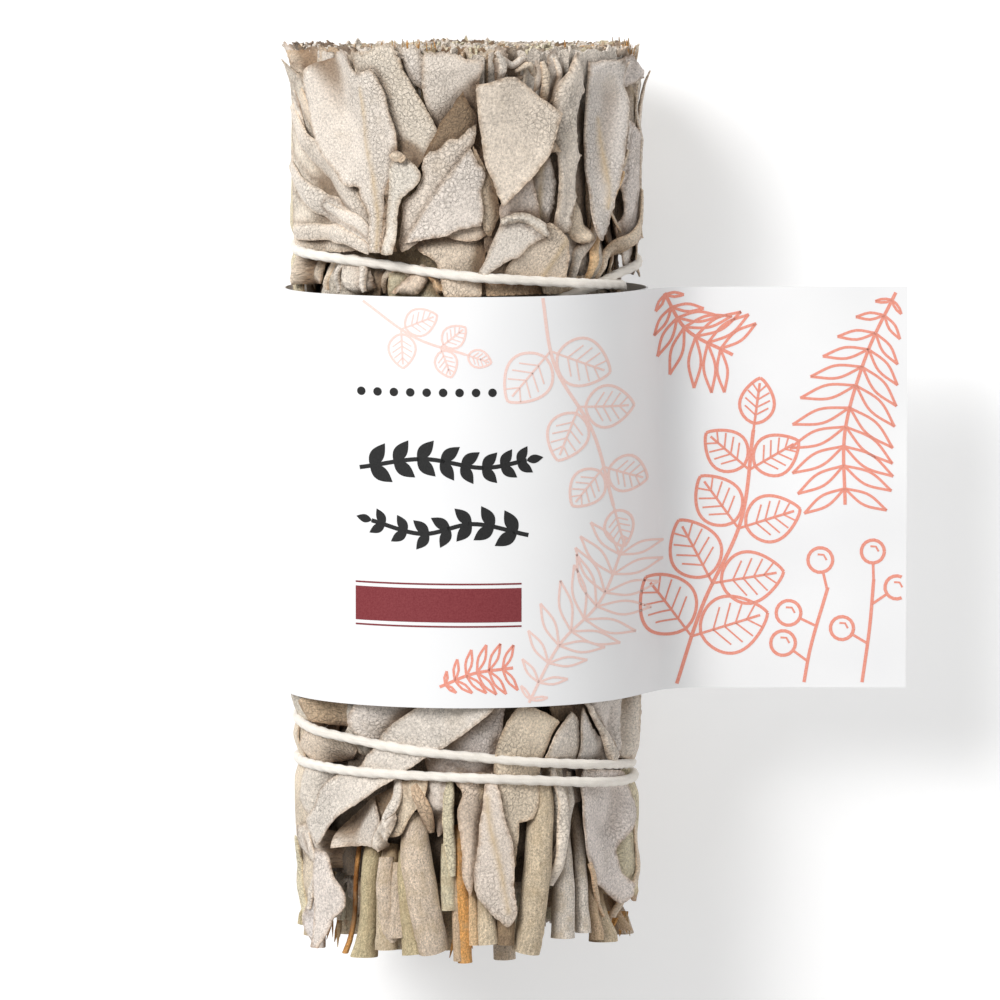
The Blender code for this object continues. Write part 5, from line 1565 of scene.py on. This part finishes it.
class Nodes:
    """Short calls for building a shader."""

    def __init__(self, tree):
        self.tree = tree

    def new(self, kind, **values):
        node = self.tree.nodes.new(kind)
        for key, value in values.items():
            setattr(node, key, value)
        return node

    def join(self, a, b):
        self.tree.links.new(a, b)

    def attribute(self, name):
        return self.new("ShaderNodeAttribute", attribute_name=name)

    def put(self, socket, value):
        if isinstance(value, (int, float, tuple)):
            socket.default_value = value
        else:
            self.join(value, socket)

    def maths(self, operation, a, b=0.0, clamp=False):
        node = self.new("ShaderNodeMath", operation=operation, use_clamp=clamp)
        self.put(node.inputs[0], a)
        self.put(node.inputs[1], b)
        return node.outputs[0]

    def scaled(self, vector, scale):
        node = self.new("ShaderNodeVectorMath", operation="MULTIPLY")
        self.put(node.inputs[0], vector)
        node.inputs[1].default_value = scale
        return node.outputs[0]

    def warped(self, vector, scale, amount):
        """The vector shifted by smooth noise, so that a pattern on it runs unevenly."""
        node = self.new("ShaderNodeTexNoise")
        self.join(vector, node.inputs["Vector"])
        node.inputs["Scale"].default_value = scale
        shift = self.scaled(node.outputs["Color"], (amount, amount, amount))
        added = self.new("ShaderNodeVectorMath", operation="ADD")
        self.join(vector, added.inputs[0])
        self.join(shift, added.inputs[1])
        return added.outputs[0]

    def noise(self, vector, scale, detail=3.0, rough=0.6):
        node = self.new("ShaderNodeTexNoise")
        self.join(vector, node.inputs["Vector"])
        node.inputs["Scale"].default_value = scale
        node.inputs["Detail"].default_value = detail
        node.inputs["Roughness"].default_value = rough
        return node.outputs["Fac"]

    def cells(self, vector, scale):
        node = self.new("ShaderNodeTexVoronoi", feature="DISTANCE_TO_EDGE")
        self.join(vector, node.inputs["Vector"])
        node.inputs["Scale"].default_value = scale
        return node.outputs["Distance"]

    def ramp(self, value, low, high, start=0.0, end=1.0):
        node = self.new("ShaderNodeMapRange", clamp=True)
        self.join(value, node.inputs["Value"])
        for name, number in (("From Min", low), ("From Max", high), ("To Min", start), ("To Max", end)):
            node.inputs[name].default_value = number
        return node.outputs["Result"]

    def times(self, colour, by):
        return self.mix(1.0, colour, by, "MULTIPLY")

    def mix(self, share, a, b, kind="MIX"):
        node = self.new("ShaderNodeMix", data_type="RGBA", blend_type=kind)
        self.put(node.inputs[0], share)
        self.put(node.inputs[6], a)
        self.put(node.inputs[7], b)
        return node.outputs[2]

    def bump(self, height, strength, distance, normal=None):
        node = self.new("ShaderNodeBump")
        node.inputs["Strength"].default_value = strength
        node.inputs["Distance"].default_value = distance
        self.join(height, node.inputs["Height"])
        if normal is not None:
            self.join(normal, node.inputs["Normal"])
        return node.outputs["Normal"]


def leaf_material():
    """Felted dried leaf: fine hairs, net of veins with painted shade in its creases, and a coloured midrib
    on some leaves.
    """
    made, n, shader = shader_of("sage_leaf_felt", 0.95)
    tone, local = n.attribute("tone"), n.attribute("local").outputs["Vector"]
    bent = n.warped(local, 0.9, 0.7)
    speckle = n.noise(local, 3.8, 4.0, 0.8)
    patches = n.noise(local, 0.35, 2.0)
    net = n.cells(bent, 1.7)
    fine_net = n.cells(bent, 3.4)
    colour = n.times(tone.outputs["Color"], n.ramp(speckle, 0.34, 0.66, 0.58, 1.27))
    colour = n.times(colour, n.ramp(patches, 0.3, 0.7, 0.92, 1.06))
    stained = n.ramp(n.noise(local, 0.22, 3.0), 0.55, 0.75, 0.0, 0.2)
    colour = n.mix(stained, colour, (0.50, 0.38, 0.24, 1.0))
    shown = n.ramp(n.noise(local, 0.12, 1.0), 0.4, 0.6, 0.1, 1.0)
    # Painted shade: the sunken creases of the vein net are painted near black
    crease_shade = n.maths("MULTIPLY", n.ramp(net, 0.0, 0.08, 0.42, 0.0), shown)
    colour = n.mix(crease_shade, colour, (0.10, 0.07, 0.04, 1.0))
    rib = n.maths("MULTIPLY", tone.outputs["Alpha"], n.ramp(patches, 0.25, 0.6, 0.4, 0.85))
    colour = n.mix(rib, colour, (0.66, 0.50, 0.31, 1.0))
    n.join(colour, shader.inputs["Base Color"])
    shader.inputs["Sheen Weight"].default_value = 0.15
    shader.inputs["Sheen Roughness"].default_value = 0.6
    height = n.maths("MULTIPLY", n.ramp(net, 0.0, 0.18), shown)
    normal = n.bump(height, 0.7, 0.00014)
    normal = n.bump(n.ramp(fine_net, 0.0, 0.2), 0.4, 0.00006, normal)
    normal = n.bump(speckle, 1.0, 0.0002, normal)
    n.join(normal, shader.inputs["Normal"])
    return made


def bark_material():
    """Dry bark and split wood, rough and a little streaked along the stem."""
    made, n, shader = shader_of("sage_stem_bark", 0.9)
    tone, local = n.attribute("tone"), n.attribute("local").outputs["Vector"]
    streaks = n.noise(n.scaled(local, (0.5, 3.2, 1.0)), 1.1, 4.0, 0.7)
    spots = n.noise(local, 4.4, 4.0, 0.85)
    patches = n.noise(local, 0.5, 3.0)
    colour = n.times(tone.outputs["Color"], n.ramp(streaks, 0.3, 0.7, 0.68, 1.12))
    colour = n.times(colour, n.ramp(spots, 0.34, 0.66, 0.42, 1.3))
    colour = n.mix(n.ramp(patches, 0.45, 0.7, 0.0, 0.5), colour, (0.46, 0.34, 0.2, 1.0))
    n.join(colour, shader.inputs["Base Color"])
    normal = n.bump(streaks, 0.7, 0.0002)
    normal = n.bump(spots, 0.9, 0.00018, normal)
    n.join(normal, shader.inputs["Normal"])
    return made


def string_material():
    """Off-white cotton, with the fibres of each strand."""
    made, n, shader = shader_of("cotton", 0.95)
    local = n.attribute("local").outputs["Vector"]
    fibres = n.noise(n.scaled(local, (1.2, 3.5, 1.0)), 2.4, 4.0, 0.7)
    soil = n.noise(local, 0.12, 2.0)
    colour = n.mix(n.ramp(fibres, 0.3, 0.7), (0.80, 0.73, 0.63, 1.0), (0.95, 0.91, 0.85, 1.0))
    colour = n.times(colour, n.ramp(soil, 0.35, 0.65, 0.92, 1.03))
    n.join(colour, shader.inputs["Base Color"])
    shader.inputs["Sheen Weight"].default_value = 0.3
    n.join(n.bump(fibres, 0.7, 0.0001), shader.inputs["Normal"])
    return made


def paper_material():
    """White uncoated paper with faint fibres."""
    made, n, shader = shader_of("white_paper", 0.55)
    place = n.new("ShaderNodeTexCoord").outputs["Object"]
    fibres = n.noise(place, 2600.0, 3.0, 0.6)
    cloud = n.noise(place, 60.0, 2.0)
    colour = n.mix(n.ramp(cloud, 0.3, 0.7), (0.775, 0.775, 0.78, 1.0), (0.81, 0.81, 0.81, 1.0))
    n.join(colour, shader.inputs["Base Color"])
    n.join(n.bump(fibres, 0.15, 0.00003), shader.inputs["Normal"])
    return made


def ink_material(name, light, deep):
    """Printer's ink, a little uneven, as on rough paper."""
    made, n, shader = shader_of(name, 0.6)
    place = n.new("ShaderNodeTexCoord").outputs["Object"]
    grain = n.noise(place, 5200.0, 3.0, 0.7)
    n.join(n.mix(n.ramp(grain, 0.35, 0.65), light, deep), shader.inputs["Base Color"])
    return made


def dress(obj, slot, *nodes):
    """Ties a piece to the frame."""
    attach(obj, "root")
    if nodes:
        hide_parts(*nodes)


def make_bundle():
    leaf, bark = leaf_material(), bark_material()
    outer = [Piece(f"leafy_stem_leaves_{k + 1:02d}") for k in range(12)]
    inner = [Piece(f"leafy_stem_heart_{k + 1:02d}") for k in range(7)]
    pile = Pile()
    angle = np.degrees(2 * math.pi * np.arange(N_ROUND) / N_ROUND)[:, None]
    beneath = smooth_step((34 - np.abs(wrap(angle - 180))) / 20)
    pile.level[:] = RADIUS - 3.1 - 0.4 * beneath
    core_piece(inner[6])
    fill_ends(outer, inner)
    lay_stems(pile, outer)
    lay_rule_leaves(pile, outer)
    lay_front_leaves(pile, outer, TOP_LEAVES)
    lay_front_leaves(pile, outer, LOW_LEAVES[:-1])
    lay_late_stems(pile, outer)
    lay_front_leaves(pile, outer, LOW_LEAVES[-1:])
    splinters(outer, *TOP_SPLINTERS)
    splinters(outer, *LOW_SPLINTERS)
    pile.settle()
    for pieces, ring in ((outer, "outer"), (inner, "inner")):
        for k, piece in enumerate(pieces):
            piece.settle(pile)
            dress(piece.build([leaf, bark]), "sage_leaf", f"leafy_stem_{ring}_{k + 1:02d}")
    dress(make_string(pile, string_material()), "cotton_string", "string")


def make_paper():
    dress(make_sleeve(paper_material()), "sleeve_paper", "paper_sleeve")
    looks = (
        ink_material("ink_coral", (0.72, 0.24, 0.17, 1), (0.78, 0.34, 0.27, 1)),
        ink_material("ink_blush", (0.80, 0.55, 0.49, 1), (0.84, 0.63, 0.58, 1)),
        ink_material("ink_red", (0.17, 0.022, 0.028, 1), (0.22, 0.04, 0.045, 1)),
        ink_material("ink_black", (0.012, 0.012, 0.012, 1), (0.02, 0.02, 0.02, 1)),
    )
    for printed in print_sleeve(looks):
        dress(printed, "sleeve_paper")


def area_light(name, place, aim, size, power):
    data = bpy.data.lights.new(name, "AREA")
    data.size = size
    data.energy = power
    lamp = placed(name, data)
    lamp.location = place
    lamp.rotation_euler = (Vector(aim) - Vector(place)).to_track_quat("-Z", "Y").to_euler()


def make_studio():
    """A pale floor, an even sky and two soft lamps."""
    mesh = bpy.data.meshes.new("floor")
    half = 1.5
    corners = [(-half, -half, 0), (half, -half, 0), (half, half, 0), (-half, half, 0)]
    mesh.from_pydata(corners, [], [(0, 1, 2, 3)])
    floor = placed("floor", mesh)
    made, _, shader = shader_of("floor_white", 0.8)
    shader.inputs["Base Color"].default_value = (0.74, 0.74, 0.74, 1)
    shader.inputs["Emission Color"].default_value = (1, 1, 1, 1)
    shader.inputs["Emission Strength"].default_value = 0.32
    mesh.materials.append(made)
    world = bpy.data.worlds.new("studio")
    world.use_nodes = True
    sky = world.node_tree.nodes["Background"]
    sky.inputs["Color"].default_value = (1, 1, 1, 1)
    sky.inputs["Strength"].default_value = 0.43
    bpy.context.scene.world = world
    area_light("key", (-0.42, 0.40, 0.62), (0, 0, 0.02), 0.36, 6.6)
    area_light("fill", (0.55, -0.20, 0.60), (0, 0, 0.02), 0.60, 1.5)
    bpy.context.scene.view_settings.view_transform = "Standard"


def make_camera():
    """A camera that looks down on the bundle, and shows it in the photograph's frame."""
    data = bpy.data.cameras.new("camera")
    frame_width = PHOTO_WIDTH * PIXEL * MM
    away = CAMERA_AWAY * MM
    data.sensor_width = 36.0
    data.lens = data.sensor_width * away / frame_width
    camera = placed("camera", data)
    middle = PHOTO_WIDTH / 2
    aim = MM * Vector(((middle - PIXEL_X) * PIXEL, (PIXEL_Y - middle) * PIXEL, AXIS_HEIGHT))
    camera.location = aim + away * Vector((0, math.sin(CAMERA_TILT), math.cos(CAMERA_TILT)))
    camera.rotation_euler = (-CAMERA_TILT, 0, 0)
    data.clip_start = 0.01
    data.clip_end = 10
    bpy.context.scene.camera = camera


make_bundle()
make_paper()
make_studio()
make_camera()
